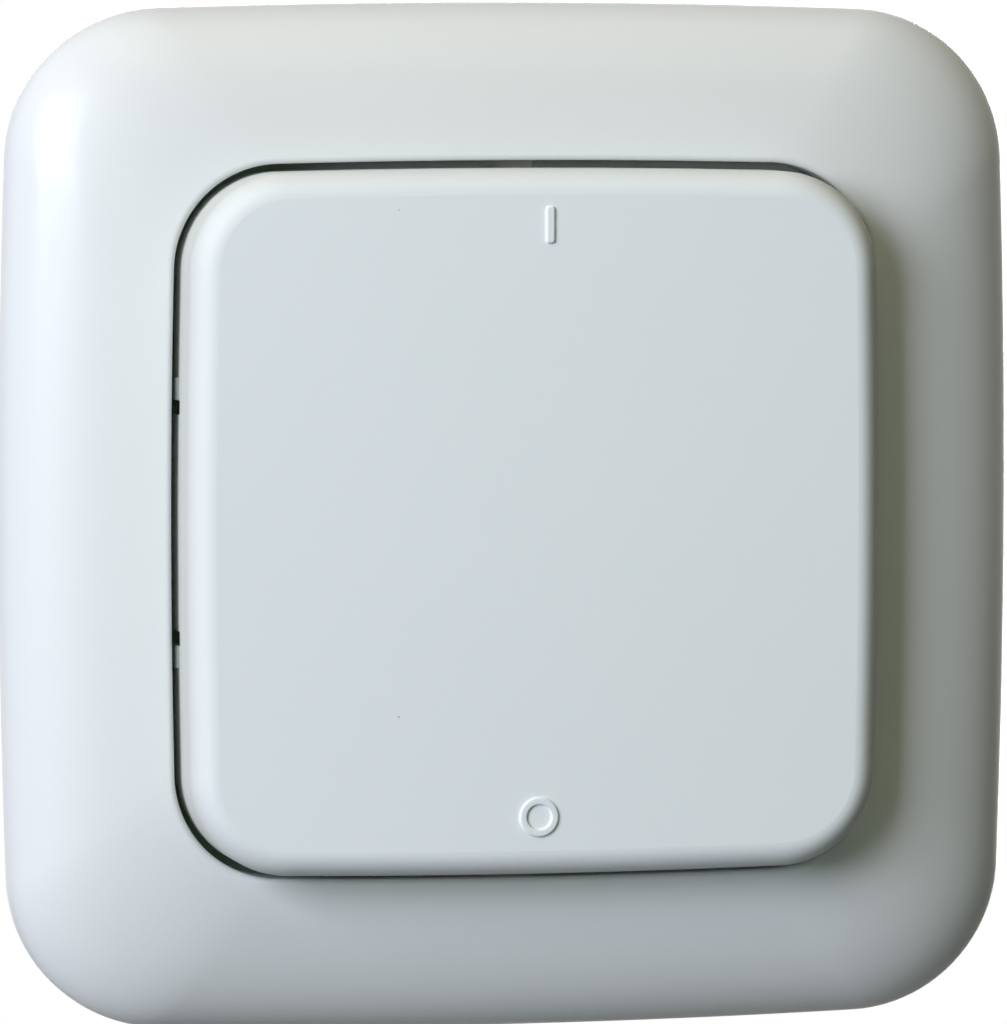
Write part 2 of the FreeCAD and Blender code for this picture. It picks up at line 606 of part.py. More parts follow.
def cell_leaf():
    """Negative contact: a flat leaf on the board with a pressed bump that meets the cell's cap."""
    leaf = rounded_block(LEAF_LENGTH / 2, LEAF_WIDTH / 2, LEAF_WIDTH / 4, BOARD_TOP, BOARD_TOP + LEAF_THICK)
    ball = Part.makeSphere(LEAF_BUMP_R, Vector(0, 0, CELL_Z - LEAF_BUMP_R))
    bump = ball.common(box(-LEAF_BUMP_R, LEAF_BUMP_R, -LEAF_BUMP_R, LEAF_BUMP_R, BOARD_TOP, CELL_Z))
    return leaf.fuse(bump).removeSplitter()


def cell_clip():
    """Positive contact: a bent strip that stands on the board and bridges the cell."""
    leg = CELL_R + CLIP_SIDE_PLAY
    foot = leg + CLIP_FOOT
    foot_top = BOARD_TOP + CLIP_THICK
    outline = [(-foot, BOARD_TOP), (-leg, BOARD_TOP), (-leg, CELL_TOP), (leg, CELL_TOP), (leg, BOARD_TOP),
               (foot, BOARD_TOP), (foot, foot_top), (leg + CLIP_THICK, foot_top),
               (leg + CLIP_THICK, CELL_TOP + CLIP_THICK), (-leg - CLIP_THICK, CELL_TOP + CLIP_THICK),
               (-leg - CLIP_THICK, foot_top), (-foot, foot_top)]
    points = [Vector(x, -CLIP_WIDTH / 2, z) for x, z in outline]
    strip = Part.Face(Part.makePolygon(points + points[:1])).extrude(Vector(0, CLIP_WIDTH, 0))
    bends = [e for e in edges_at(strip, CELL_TOP + CLIP_THICK) if e.BoundBox.XLength < 1e-4]
    return strip.makeFillet(CLIP_BEND_R, bends)


def peg_places(side):
    at = SWITCH_SIZE / 2 - SWITCH_PEG_INSET
    return [(x * at, side * SWITCH_Y + y * at) for x in (-1, 1) for y in (-1, 1)]


def pin_places(side):
    x_at = SWITCH_SIZE / 2 + PIN_THICK / 2
    y_at = PIN_PITCH / 2
    return [(x * x_at, side * SWITCH_Y + y * y_at) for x in (-1, 1) for y in (-1, 1)]


def switch_body(side):
    """Moulded body of a push switch, with a bore for dome and plunger and four pegs for its lid."""
    half = SWITCH_SIZE / 2
    y = side * SWITCH_Y
    body = box(-half, half, y - half, y + half, BOARD_TOP, LID_Z)
    pegs = [post(px, py, SWITCH_PEG_D, LID_Z, LID_TOP + SWITCH_PEG_PROUD) for px, py in peg_places(side)]
    return body.multiFuse(pegs).cut(post(0, y, SWITCH_BORE_D, BOARD_TOP + SWITCH_FLOOR, LID_Z))


def switch_lid(side):
    half = SWITCH_SIZE / 2
    y = side * SWITCH_Y
    lid = box(-half, half, y - half, y + half, LID_Z, LID_TOP)
    holes = [post(px, py, SWITCH_PEG_D + 2 * SWITCH_FIT, LID_Z, LID_TOP) for px, py in peg_places(side)]
    holes.append(post(0, y, STEM_D + 2 * STEM_FIT, LID_Z, LID_TOP))
    return lid.cut(holes[0].multiFuse(holes[1:]))


def switch_stem(side):
    """Plunger of a push switch, half way down its travel at rest, held in by its flange."""
    y = side * SWITCH_Y
    stem = post(0, y, STEM_D, FLANGE_TOP, STEM_TOP)
    stem = stem.makeChamfer(STEM_EDGE, edges_at(stem, STEM_TOP))
    return stem.fuse(post(0, y, STEM_FLANGE_D, FLANGE_TOP - STEM_FLANGE_THICK, FLANGE_TOP)).removeSplitter()


def switch_dome(side):
    """Snap dome under the plunger: a thin spherical cap that stands on the bore's floor."""
    seat = BOARD_TOP + SWITCH_FLOOR
    rise = FLANGE_TOP - STEM_FLANGE_THICK - DOME_PLAY - seat
    ball_r = ((DOME_D / 2) ** 2 + rise ** 2) / (2 * rise)
    centre = Vector(0, side * SWITCH_Y, seat + rise - ball_r)
    shell = Part.makeSphere(ball_r, centre).cut(Part.makeSphere(ball_r - DOME_THICK, centre))
    return shell.common(post(0, side * SWITCH_Y, SWITCH_BORE_D, seat, seat + rise))


def switch_pins(side):
    half_width = PIN_WIDTH / 2
    half_thick = PIN_THICK / 2
    pins = [box(x - half_thick, x + half_thick, y - half_width, y + half_width,
                BOARD_Z - PIN_DROP, BOARD_TOP + PIN_RISE) for x, y in pin_places(side)]
    return Part.makeCompound(pins)


def bent_leg(x, y, way, rise):
    """Gull-wing leg of a chip: out of the body at height rise, down, and a foot on the board."""
    knee = CHIP_LEG_REACH / 2
    top = rise + CHIP_LEG_THICK
    outline = [(0, rise), (knee, rise), (knee, 0), (CHIP_LEG_REACH, 0), (CHIP_LEG_REACH, CHIP_LEG_THICK),
               (knee + CHIP_LEG_THICK, CHIP_LEG_THICK), (knee + CHIP_LEG_THICK, top), (0, top)]
    points = [Vector(x + way * out, y - CHIP_LEG_WIDTH / 2, BOARD_TOP + z) for out, z in outline]
    return Part.Face(Part.makePolygon(points + points[:1])).extrude(Vector(0, CHIP_LEG_WIDTH, 0))


def chip_with_legs(width, length, height, legs):
    """Moulded chip body at the board's middle with bent legs, each given as (way, y)."""
    body = box(-width / 2, width / 2, -length / 2, length / 2, BOARD_TOP + CHIP_STANDOFF, BOARD_TOP + height)
    body = body.makeChamfer(height / 6, edges_at(body, BOARD_TOP + height))
    return body.multiFuse([bent_leg(way * width / 2, y, way, height / 2) for way, y in legs])


def encoder_chip():
    first = -(CHIP_LEGS_PER_SIDE - 1) / 2 * CHIP_LEG_PITCH
    legs = [(way, first + i * CHIP_LEG_PITCH) for way in (-1, 1) for i in range(CHIP_LEGS_PER_SIDE)]
    chip = chip_with_legs(CHIP_WIDTH, CHIP_LENGTH, CHIP_HEIGHT, legs)
    chip.translate(Vector(CHIP_X, CHIP_Y, 0))
    return chip


def radio_transistor():
    legs = [(-1, -TRANSISTOR_LEG_X), (-1, TRANSISTOR_LEG_X), (1, 0)]
    chip = chip_with_legs(TRANSISTOR_WIDTH, TRANSISTOR_LENGTH, TRANSISTOR_HEIGHT, legs)
    chip.translate(Vector(TRANSISTOR_X, TRANSISTOR_Y, 0))
    return chip


def resonator_can():
    """Round drawn can on a flange."""
    top = BOARD_TOP + CAN_HEIGHT
    can = post(CAN_X, CAN_Y, CAN_D - 2 * CAN_FLANGE, BOARD_TOP, top)
    can = can.makeChamfer(CAN_EDGE, edges_at(can, top))
    return can.fuse(post(CAN_X, CAN_Y, CAN_D, BOARD_TOP, BOARD_TOP + CAN_FLANGE_THICK)).removeSplitter()


def indicator_lamp():
    """Surface-mounted lamp: a flat carrier with a clear lens block that tapers upwards."""
    carrier_top = BOARD_TOP + LAMP_HEIGHT - LAMP_LENS_HEIGHT
    lens_top = carrier_top + LAMP_LENS_HEIGHT
    half_width = LAMP_WIDTH / 2
    carrier = box(-LAMP_LENGTH / 2, LAMP_LENGTH / 2, -half_width, half_width, BOARD_TOP, carrier_top)
    lens = box(-LAMP_LENGTH / 3, LAMP_LENGTH / 3, -half_width, half_width, carrier_top, lens_top)
    lens = lens.makeChamfer(LAMP_LENS_HEIGHT / 4, edges_at(lens, lens_top))
    lamp = carrier.fuse(lens).removeSplitter()
    lamp.translate(Vector(LAMP_X, LAMP_Y, 0))
    return lamp


def passive_row(x, first_y, count, height):
    """Row of small block parts that stand side by side on the board."""
    blocks = []
    for i in range(count):
        block = box(-PASSIVE_LENGTH / 2, PASSIVE_LENGTH / 2, -PASSIVE_WIDTH / 2, PASSIVE_WIDTH / 2,
                    BOARD_TOP, BOARD_TOP + height)
        block = block.makeChamfer(PASSIVE_EDGE, edges_at(block, BOARD_TOP + height))
        block.translate(Vector(x, first_y - i * PASSIVE_PITCH, 0))
        blocks.append(block)
    return Part.makeCompound(blocks)


def all_pieces():
    """Every piece of the switch by its node name."""
    pieces = {
        "wall_plate": wall_plate(),
        "cover_frame": cover_frame(),
        "rocker": rocker(),
        "transmitter_tray": transmitter_tray(),
        "transmitter_cover": transmitter_cover(),
        "cover_screws": cover_screws(),
        "circuit_board": circuit_board(),
        "coin_cell": coin_cell(),
        "cell_clip": cell_clip(),
        "cell_leaf": cell_leaf(),
        "encoder_chip": encoder_chip(),
        "resonator_can": resonator_can(),
        "radio_transistor": radio_transistor(),
        "indicator_lamp": indicator_lamp(),
        "chip_capacitors": passive_row(CAPACITOR_X, CAPACITOR_Y, CAPACITOR_COUNT, CAPACITOR_HEIGHT),
        "chip_resistors": passive_row(RESISTOR_X, RESISTOR_Y, RESISTOR_COUNT, RESISTOR_HEIGHT),
    }
    for name, side in (("upper", 1), ("lower", -1)):
        pieces[name + "_switch_body"] = switch_body(side)
        pieces[name + "_switch_lid"] = switch_lid(side)
        pieces[name + "_switch_stem"] = switch_stem(side)
        pieces[name + "_switch_dome"] = switch_dome(side)
        pieces[name + "_switch_pins"] = switch_pins(side)
    return pieces


os.makedirs("parts", exist_ok=True)
for node, shape in all_pieces().items():
    shape.rotate(Vector(0, 0, 0), Vector(1, 0, 0), 90)
    shape.exportStep("parts/" + node + ".step")
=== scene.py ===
import math

import bmesh
import bpy
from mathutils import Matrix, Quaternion, Vector


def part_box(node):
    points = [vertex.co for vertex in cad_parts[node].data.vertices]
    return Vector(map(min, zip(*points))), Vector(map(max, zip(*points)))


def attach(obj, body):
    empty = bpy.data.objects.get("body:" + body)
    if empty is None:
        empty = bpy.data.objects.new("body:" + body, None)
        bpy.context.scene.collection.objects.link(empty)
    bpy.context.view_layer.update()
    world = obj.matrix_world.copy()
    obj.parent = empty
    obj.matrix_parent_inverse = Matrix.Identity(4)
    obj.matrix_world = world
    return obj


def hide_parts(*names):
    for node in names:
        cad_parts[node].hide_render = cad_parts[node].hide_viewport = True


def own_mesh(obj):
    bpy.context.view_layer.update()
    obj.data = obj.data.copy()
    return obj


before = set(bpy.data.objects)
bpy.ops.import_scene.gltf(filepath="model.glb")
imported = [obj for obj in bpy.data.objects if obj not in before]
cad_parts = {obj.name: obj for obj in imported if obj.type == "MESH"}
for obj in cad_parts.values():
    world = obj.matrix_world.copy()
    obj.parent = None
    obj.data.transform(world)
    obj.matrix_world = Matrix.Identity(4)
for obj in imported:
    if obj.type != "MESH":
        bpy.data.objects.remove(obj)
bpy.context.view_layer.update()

# Wall plate: a flat moulding of matt white plastic. Two screws through its slots hold it to the
# wall, its fence and inner hooks hold the transmitter case, and its outer hooks hold the frame.
MM = 0.001
PLATE_COLOUR = (0.74, 0.75, 0.72)
PLATE_ROUGHNESS = 0.55
PLATE_GRAIN = 0.5 * MM
PLATE_GRAIN_DEPTH = 0.02 * MM
MOULD_CLOUD = 14 * MM
MOULD_CLOUD_SHADE = 0.94
MOULD_GRAIN_STRENGTH = 0.5
GLOSS_SPREAD = 0.05
NOISE_LOW = 0.3
NOISE_HIGH = 0.7


def put(tree, kind, inputs=None, **settings):
    """Adds a node to a tree, sets its properties, and links or sets its inputs."""
    node = tree.nodes.new(kind)
    for name, value in settings.items():
        setattr(node, name, value)
    for key, value in (inputs or {}).items():
        if isinstance(value, bpy.types.NodeSocket):
            tree.links.new(value, node.inputs[key])
        else:
            node.inputs[key].default_value = value
    return node


def new_finish(name):
    """New material, with its node tree, its shader and the piece's own coordinates."""
    material = bpy.data.materials.new(name)
    material.use_nodes = True
    tree = material.node_tree
    shader = tree.nodes["Principled BSDF"]
    return material, tree, shader, put(tree, "ShaderNodeTexCoord").outputs["Object"]


def cloud(tree, place, size, detail=2.0):
    """Soft noise from 0 to 1 whose patches are about as large as size."""
    noise = put(tree, "ShaderNodeTexNoise", {"Vector": place, "Scale": 1 / size, "Detail": detail})
    return noise.outputs[0]


def spread(tree, factor, low, high):
    """Stretches the middle of a noise over the range from low to high."""
    inputs = {"Value": factor, "From Min": NOISE_LOW, "From Max": NOISE_HIGH, "To Min": low,
              "To Max": high}
    return put(tree, "ShaderNodeMapRange", inputs).outputs[0]


def blend_colours(tree, factor, first, second):
    """Colour between two colours, each an (r, g, b) value or the socket of another mix."""
    ends = [c if isinstance(c, bpy.types.NodeSocket) else (*c, 1.0) for c in (first, second)]
    mix = put(tree, "ShaderNodeMix", {0: factor, 6: ends[0], 7: ends[1]}, data_type="RGBA")
    return mix.outputs[2]


def darker(colour, share):
    """Colour at a share of its brightness."""
    return tuple(channel * share for channel in colour)


def raise_grain(tree, shader, height, depth, strength):
    """Fine relief of the surface, as deep as depth."""
    bump = put(tree, "ShaderNodeBump", {"Height": height, "Distance": depth, "Strength": strength})
    tree.links.new(bump.outputs["Normal"], shader.inputs["Normal"])


def moulded_plastic(name, colour, roughness, grain_size, grain_depth):
    """Moulded plastic with a faintly clouded colour and the fine grain of its mould."""
    material, tree, shader, place = new_finish(name)
    clouded = cloud(tree, place, MOULD_CLOUD)
    tone = blend_colours(tree, clouded, darker(colour, MOULD_CLOUD_SHADE), colour)
    tree.links.new(tone, shader.inputs["Base Color"])
    grain = cloud(tree, place, grain_size, 3.0)
    gloss = spread(tree, grain, roughness - GLOSS_SPREAD, roughness + GLOSS_SPREAD)
    tree.links.new(gloss, shader.inputs["Roughness"])
    raise_grain(tree, shader, grain, grain_depth, MOULD_GRAIN_STRENGTH)
    return material


def dress(material, *nodes):
    """Gives a finish to CAD nodes, in their own material slots."""
    for node in nodes:
        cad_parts[node].material_slots[0].material = material


plate_plastic = moulded_plastic("plate_plastic", PLATE_COLOUR, PLATE_ROUGHNESS, PLATE_GRAIN,
                                PLATE_GRAIN_DEPTH)
dress(plate_plastic, "wall_plate")

# Transmitter tray: the rear half of the sender's case, moulded in dark grey plastic. The plate's
# inner hooks clip into pockets in its walls, and its two side bosses are the rocker's bearings.
SENDER_COLOUR = (0.035, 0.037, 0.038)
SENDER_ROUGHNESS = 0.5
SENDER_GRAIN = 0.35 * MM
SENDER_GRAIN_DEPTH = 0.03 * MM
case_plastic = moulded_plastic("case_plastic", SENDER_COLOUR, SENDER_ROUGHNESS, SENDER_GRAIN,
                               SENDER_GRAIN_DEPTH)
dress(case_plastic, "transmitter_tray")

# Circuit board: glass fibre laminate under green lacquer, one millimetre thick. It lies on four
# posts in the tray, and the cover's screws go through it. Copper tracks show through the lacquer.
BOARD_GREEN = (0.012, 0.075, 0.03)
TRACK_GREEN = (0.03, 0.15, 0.06)
TRACK_PITCH = 2.4 * MM
TRACK_SHARE = 0.09
TRACK_RISE = 0.03 * MM
WEAVE_SIZE = 0.6 * MM
WEAVE_SHADE = 0.8
LACQUER_GLOSS = (0.32, 0.42)
board_lacquer, tree, shader, place = new_finish("board_lacquer")
turned = put(tree, "ShaderNodeMapping", {"Vector": place, "Rotation": (math.pi / 2, 0, 0)}).outputs[0]
track_looks = {"Vector": turned, "Scale": 1 / TRACK_PITCH, "Mortar Size": TRACK_SHARE,
               "Color1": (0, 0, 0, 1), "Color2": (0, 0, 0, 1), "Mortar": (1, 1, 1, 1)}
tracks = put(tree, "ShaderNodeTexBrick", track_looks).outputs["Color"]
weave = cloud(tree, place, WEAVE_SIZE, 4.0)
ground = blend_colours(tree, weave, darker(BOARD_GREEN, WEAVE_SHADE), BOARD_GREEN)
tree.links.new(blend_colours(tree, tracks, ground, TRACK_GREEN), shader.inputs["Base Color"])
tree.links.new(spread(tree, weave, *LACQUER_GLOSS), shader.inputs["Roughness"])
raise_grain(tree, shader, tracks, TRACK_RISE, 0.6)
dress(board_lacquer, "circuit_board")

# Coin cell and its contacts: a lithium cell in a drawn stainless can, a flat leaf under its cap
# and a bent strip over its back. Both contacts are tinned spring steel soldered to the board.
STEEL = (0.62, 0.62, 0.6)
TINNED_STEEL = (0.72, 0.71, 0.66)
STREAK_SIZE = 0.4 * MM
STREAK_SHADE = 0.85
STREAK_DEPTH = 0.01 * MM
STREAK_GLOSS = (-0.06, 0.08)


def rolled_metal(name, colour, roughness, grain_way):
    """Bare metal with fine streaks that run along the axis where grain_way is small."""
    material, tree, shader, place = new_finish(name)
    stretched = put(tree, "ShaderNodeMapping", {"Vector": place, "Scale": grain_way}).outputs["Vector"]
    streaks = cloud(tree, stretched, STREAK_SIZE, 4.0)
    tone = blend_colours(tree, streaks, darker(colour, STREAK_SHADE), colour)
    tree.links.new(tone, shader.inputs["Base Color"])
    gloss = spread(tree, streaks, *(roughness + change for change in STREAK_GLOSS))
    tree.links.new(gloss, shader.inputs["Roughness"])
    shader.inputs["Metallic"].default_value = 1.0
    raise_grain(tree, shader, streaks, STREAK_DEPTH, 0.4)
    return material


dress(rolled_metal("cell_can", STEEL, 0.24, (0.1, 1.0, 1.0)), "coin_cell")
contact_metal = rolled_metal("contact_metal", TINNED_STEEL, 0.3, (0.05, 1.0, 1.0))
dress(contact_metal, "cell_clip", "cell_leaf")

# Small parts of the sender: an encoder chip and a transistor in black resin with tinned legs, a
# resonator in a drawn can, a clear lamp, and rows of ceramic blocks with tinned ends.
RESIN_BLACK = (0.018, 0.018, 0.02)
CERAMIC_TAN = (0.36, 0.24, 0.13)
CERAMIC_BLACK = (0.025, 0.025, 0.028)
TIN = (0.7, 0.7, 0.68)
LAMP_TINT = (0.86, 0.87, 0.8)
LAMP_HAZE = 0.5 * MM
LAMP_GLOSS = (0.08, 0.2)
LEG_REACH = 1.05 * MM
END_CAP = 0.4 * MM
BLOCK_GRAIN = 0.2 * MM
BLOCK_GRAIN_DEPTH = 0.01 * MM
BLOCK_SHADE = 0.8
BLOCK_GLOSS = (0.35, 0.5)


def part_with_tin_ends(name, node, body_colour, tin_length):
    """Body of resin or ceramic whose two ends along X are tinned metal."""
    low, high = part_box(node)
    middle = (low.x + high.x) / 2
    material, tree, shader, place = new_finish(name)
    across = put(tree, "ShaderNodeSeparateXYZ", {0: place}).outputs["X"]
    off_middle = put(tree, "ShaderNodeMath", {0: across, 1: middle}, operation="SUBTRACT").outputs[0]
    distance = put(tree, "ShaderNodeMath", {0: off_middle}, operation="ABSOLUTE").outputs[0]
    limit = (high.x - low.x) / 2 - tin_length
    tinned = put(tree, "ShaderNodeMath", {0: distance, 1: limit}, operation="GREATER_THAN").outputs[0]
    grain = cloud(tree, place, BLOCK_GRAIN, 3.0)
    body = blend_colours(tree, grain, darker(body_colour, BLOCK_SHADE), body_colour)
    tree.links.new(blend_colours(tree, tinned, body, TIN), shader.inputs["Base Color"])
    tree.links.new(tinned, shader.inputs["Metallic"])
    tree.links.new(spread(tree, grain, *BLOCK_GLOSS), shader.inputs["Roughness"])
    raise_grain(tree, shader, grain, BLOCK_GRAIN_DEPTH, 0.4)
    return material


for finish, node, colour, tin_length in (
        ("encoder_resin", "encoder_chip", RESIN_BLACK, LEG_REACH),
        ("transistor_resin", "radio_transistor", RESIN_BLACK, LEG_REACH),
        ("capacitor_ceramic", "chip_capacitors", CERAMIC_TAN, END_CAP),
        ("resistor_ceramic", "chip_resistors", CERAMIC_BLACK, END_CAP)):
    dress(part_with_tin_ends(finish, node, colour, tin_length), node)
dress(rolled_metal("resonator_metal", STEEL, 0.28, (1.0, 0.2, 1.0)), "resonator_can")
lamp_resin, tree, shader, place = new_finish("lamp_resin")
haze = cloud(tree, place, LAMP_HAZE)
tree.links.new(blend_colours(tree, haze, darker(LAMP_TINT, 0.9), LAMP_TINT), shader.inputs["Base Color"])
tree.links.new(spread(tree, haze, *LAMP_GLOSS), shader.inputs["Roughness"])
shader.inputs["Transmission Weight"].default_value = 0.7
dress(lamp_resin, "indicator_lamp")

# Push switches: two of them, each a black moulded body with a pressed steel lid, a white plunger
# under the rocker's post and a thin snap dome of spring steel. Four tinned pins pass the board.
SWITCH_COLOUR = (0.02, 0.02, 0.022)
SWITCH_ROUGHNESS = 0.42
SWITCH_GRAIN = 0.3 * MM
SWITCH_GRAIN_DEPTH = 0.02 * MM
PLUNGER_COLOUR = (0.78, 0.78, 0.74)
PLUNGER_ROUGHNESS = 0.35
PLUNGER_GRAIN = 0.4 * MM
PLUNGER_GRAIN_DEPTH = 0.01 * MM
SPRING_STEEL = (0.66, 0.63, 0.56)
DOME_THICK = 0.1 * MM
DOME_RINGS = 10
DOME_SPOKES = 32
switch_plastic = moulded_plastic("switch_plastic", SWITCH_COLOUR, SWITCH_ROUGHNESS, SWITCH_GRAIN,
                                 SWITCH_GRAIN_DEPTH)
plunger_plastic = moulded_plastic("plunger_plastic", PLUNGER_COLOUR, PLUNGER_ROUGHNESS, PLUNGER_GRAIN,
                                  PLUNGER_GRAIN_DEPTH)
lid_metal = rolled_metal("lid_metal", STEEL, 0.3, (1.0, 1.0, 0.05))
pin_metal = rolled_metal("pin_metal", TIN, 0.35, (1.0, 0.1, 1.0))
dome_metal = rolled_metal("dome_metal", SPRING_STEEL, 0.25, (0.1, 1.0, 1.0))


def new_piece(name, mesh, material, body):
    """Object of a finished mesh that moves with a body and takes a record slot's finish."""
    piece = bpy.data.objects.new(name, mesh)
    bpy.context.scene.collection.objects.link(piece)
    if not mesh.materials:
        mesh.materials.append(material)
    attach(piece, body)
    return piece


def snap_dome(node):
    """Thin shell of a round cap that stands on the switch's floor, as large as its CAD node."""
    low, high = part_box(node)
    foot_radius = (high.x - low.x) / 2
    rise = high.y - low.y
    ball_radius = (foot_radius ** 2 + rise ** 2) / (2 * rise)
    form = bmesh.new()
    walls = []
    for radius in (ball_radius, ball_radius - DOME_THICK):
        widest = math.acos((ball_radius - rise) / radius)
        crest = form.verts.new(((low.x + high.x) / 2, low.y + ball_radius - radius, (low.z + high.z) / 2))
        rings = []
        for step in range(1, DOME_RINGS + 1):
            lean = widest * step / DOME_RINGS
            rings.append([form.verts.new((crest.co.x + radius * math.sin(lean) * math.cos(turn),
                                          crest.co.y + radius * (1 - math.cos(lean)),
                                          crest.co.z + radius * math.sin(lean) * math.sin(turn)))
                          for turn in (math.tau * spoke / DOME_SPOKES for spoke in range(DOME_SPOKES))])
        walls.append((crest, rings))
    for crest, rings in walls:
        for spoke in range(DOME_SPOKES):
            after = (spoke + 1) % DOME_SPOKES
            form.faces.new((crest, rings[0][spoke], rings[0][after]))
            for inner, outer in zip(rings, rings[1:]):
                form.faces.new((inner[spoke], outer[spoke], outer[after], inner[after]))
    for spoke in range(DOME_SPOKES):
        after = (spoke + 1) % DOME_SPOKES
        outer_foot, inner_foot = (rings[-1] for _, rings in walls)
        form.faces.new((outer_foot[spoke], outer_foot[after], inner_foot[after], inner_foot[spoke]))
    bmesh.ops.recalc_face_normals(form, faces=form.faces)
    for face in form.faces:
        face.smooth = True
    mesh = bpy.data.meshes.new(node + "_cap")
    form.to_mesh(mesh)
    form.free()
    return mesh


for switch in ("upper", "lower"):
    dress(switch_plastic, switch + "_switch_body")
    dress(plunger_plastic, switch + "_switch_stem")
    dress(lid_metal, switch + "_switch_lid")
    dress(pin_metal, switch + "_switch_pins")
    dome_node = switch + "_switch_dome"
    dome = new_piece(switch + "_snap_dome", snap_dome(dome_node), dome_metal, "housing")
    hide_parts(dome_node)
    low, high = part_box(dome_node)
    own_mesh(dome)

# Solder: a small cone of tin round each switch pin under the board, and a flat pad under each end
# of the ceramic blocks. The board passes through one bath of solder, so all are alike.
SOLDER = (0.66, 0.66, 0.65)
JOINT_FOOT_RADIUS = 0.75 * MM
JOINT_TIP_RADIUS = 0.45 * MM
JOINT_HEIGHT = 0.4 * MM
PIN_THICK = 0.3 * MM
PIN_WIDTH = 0.7 * MM
BLOCK_WIDTH = 1.25 * MM
PAD_OVERHANG = 0.3 * MM
PAD_LENGTH = 0.9 * MM
PAD_THICK = 0.04 * MM
CAPACITORS = 4
RESISTORS = 5
solder = rolled_metal("solder", SOLDER, 0.36, (1.0, 1.0, 1.0))


class Field:
    """Number in a node tree: its sums, products and functions add math nodes."""

    def __init__(self, tree, socket):
        self.tree = tree
        self.socket = socket

    def math(self, operation, *others):
        node = self.tree.nodes.new("ShaderNodeMath")
        node.operation = operation
        for entry, value in zip(node.inputs, (self, *others)):
            if isinstance(value, Field):
                self.tree.links.new(value.socket, entry)
            else:
                entry.default_value = value
        return Field(self.tree, node.outputs[0])

    def __add__(self, other):
        return self.math("ADD", other)

    def __sub__(self, other):
        return self.math("SUBTRACT", other)

    def __rsub__(self, other):
        return self.math("MULTIPLY_ADD", -1.0, other)

    def __mul__(self, other):
        return self.math("MULTIPLY", other)

    def __truediv__(self, other):
        return self.math("DIVIDE", other)

    __radd__ = __add__
    __rmul__ = __mul__


def new_tree(name, inputs):
    """Geometry tree with named inputs, as the tree and its inputs as fields."""
    tree = bpy.data.node_groups.new(name, "GeometryNodeTree")
    tree.interface.new_socket("Geometry", in_out="OUTPUT", socket_type="NodeSocketGeometry")
    for label in inputs:
        tree.interface.new_socket(label, in_out="INPUT", socket_type="NodeSocketFloat")
    given = put(tree, "NodeGroupInput").outputs
    return tree, [Field(tree, given[label]) for label in inputs]


def end_tree(tree, geometry, material):
    """Last nodes of a tree: real mesh, its material, and the output."""
    real = put(tree, "GeometryNodeRealizeInstances", {"Geometry": geometry}).outputs[0]
    painted = put(tree, "GeometryNodeSetMaterial", {"Geometry": real, "Material": material}).outputs[0]
    put(tree, "NodeGroupOutput", {0: painted})


def vector_of(tree, x, y, z):
    """Vector from three numbers or fields."""
    parts = [part.socket if isinstance(part, Field) else part for part in (x, y, z)]
    return put(tree, "ShaderNodeCombineXYZ", dict(enumerate(parts))).outputs[0]


def grown_mesh(tree, sizes):
    """Plain mesh that a tree makes when its named inputs get these sizes."""
    bench = bpy.data.objects.new(tree.name, bpy.data.meshes.new(tree.name))
    bpy.context.scene.collection.objects.link(bench)
    modifier = bench.modifiers.new(tree.name, "NODES")
    modifier.node_group = tree
    for entry in tree.interface.items_tree:
        if entry.in_out == "INPUT":
            modifier[entry.identifier] = sizes[entry.name]
    ready = bench.evaluated_get(bpy.context.evaluated_depsgraph_get())
    mesh = bpy.data.meshes.new_from_object(ready)
    mesh.name = tree.name
    bench.modifiers.remove(modifier)
    bpy.data.objects.remove(bench)
    return mesh


def grid_of_points(tree, count, columns, x0, dx, y, z0, dz):
    """Points in rows of so many columns, spaced dx across and dz up at the depth y."""
    line = put(tree, "GeometryNodeMeshLine", {"Count": count}).outputs[0]
    index = Field(tree, put(tree, "GeometryNodeInputIndex").outputs[0])
    row = (index / columns).math("FLOOR")
    column = index - row * columns
    place = vector_of(tree, column * dx + x0, y, row * dz + z0)
    return put(tree, "GeometryNodeSetPosition", {"Geometry": line, "Position": place}).outputs[0]


joint_sizes = ["First X", "Step X", "First Z", "Step Z", "Board underside", "Foot radius", "Tip radius",
               "Height"]
tree, (x0, dx, z0, dz, underside, foot, tip, height) = new_tree("solder_joints", joint_sizes)
points = grid_of_points(tree, 4, 2, x0, dx, underside, z0, dz)
cone = put(tree, "GeometryNodeMeshCone", {"Vertices": 16, "Radius Top": tip.socket,
                                          "Radius Bottom": foot.socket, "Depth": height.socket})
joints = put(tree, "GeometryNodeInstanceOnPoints", {"Points": points, "Instance": cone.outputs["Mesh"],
                                                    "Rotation": (-math.pi / 2, 0, 0)})
end_tree(tree, joints.outputs[0], solder)
board_low, board_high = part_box("circuit_board")
for switch in ("upper", "lower"):
    low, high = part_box(switch + "_switch_pins")
    mesh = grown_mesh(tree, {"First X": low.x + PIN_THICK / 2, "Step X": high.x - low.x - PIN_THICK,
                             "First Z": low.z + PIN_WIDTH / 2, "Step Z": high.z - low.z - PIN_WIDTH,
                             "Board underside": board_high.y, "Foot radius": JOINT_FOOT_RADIUS,
                             "Tip radius": JOINT_TIP_RADIUS, "Height": JOINT_HEIGHT})
    new_piece(switch + "_switch_solder", mesh, solder, "housing")

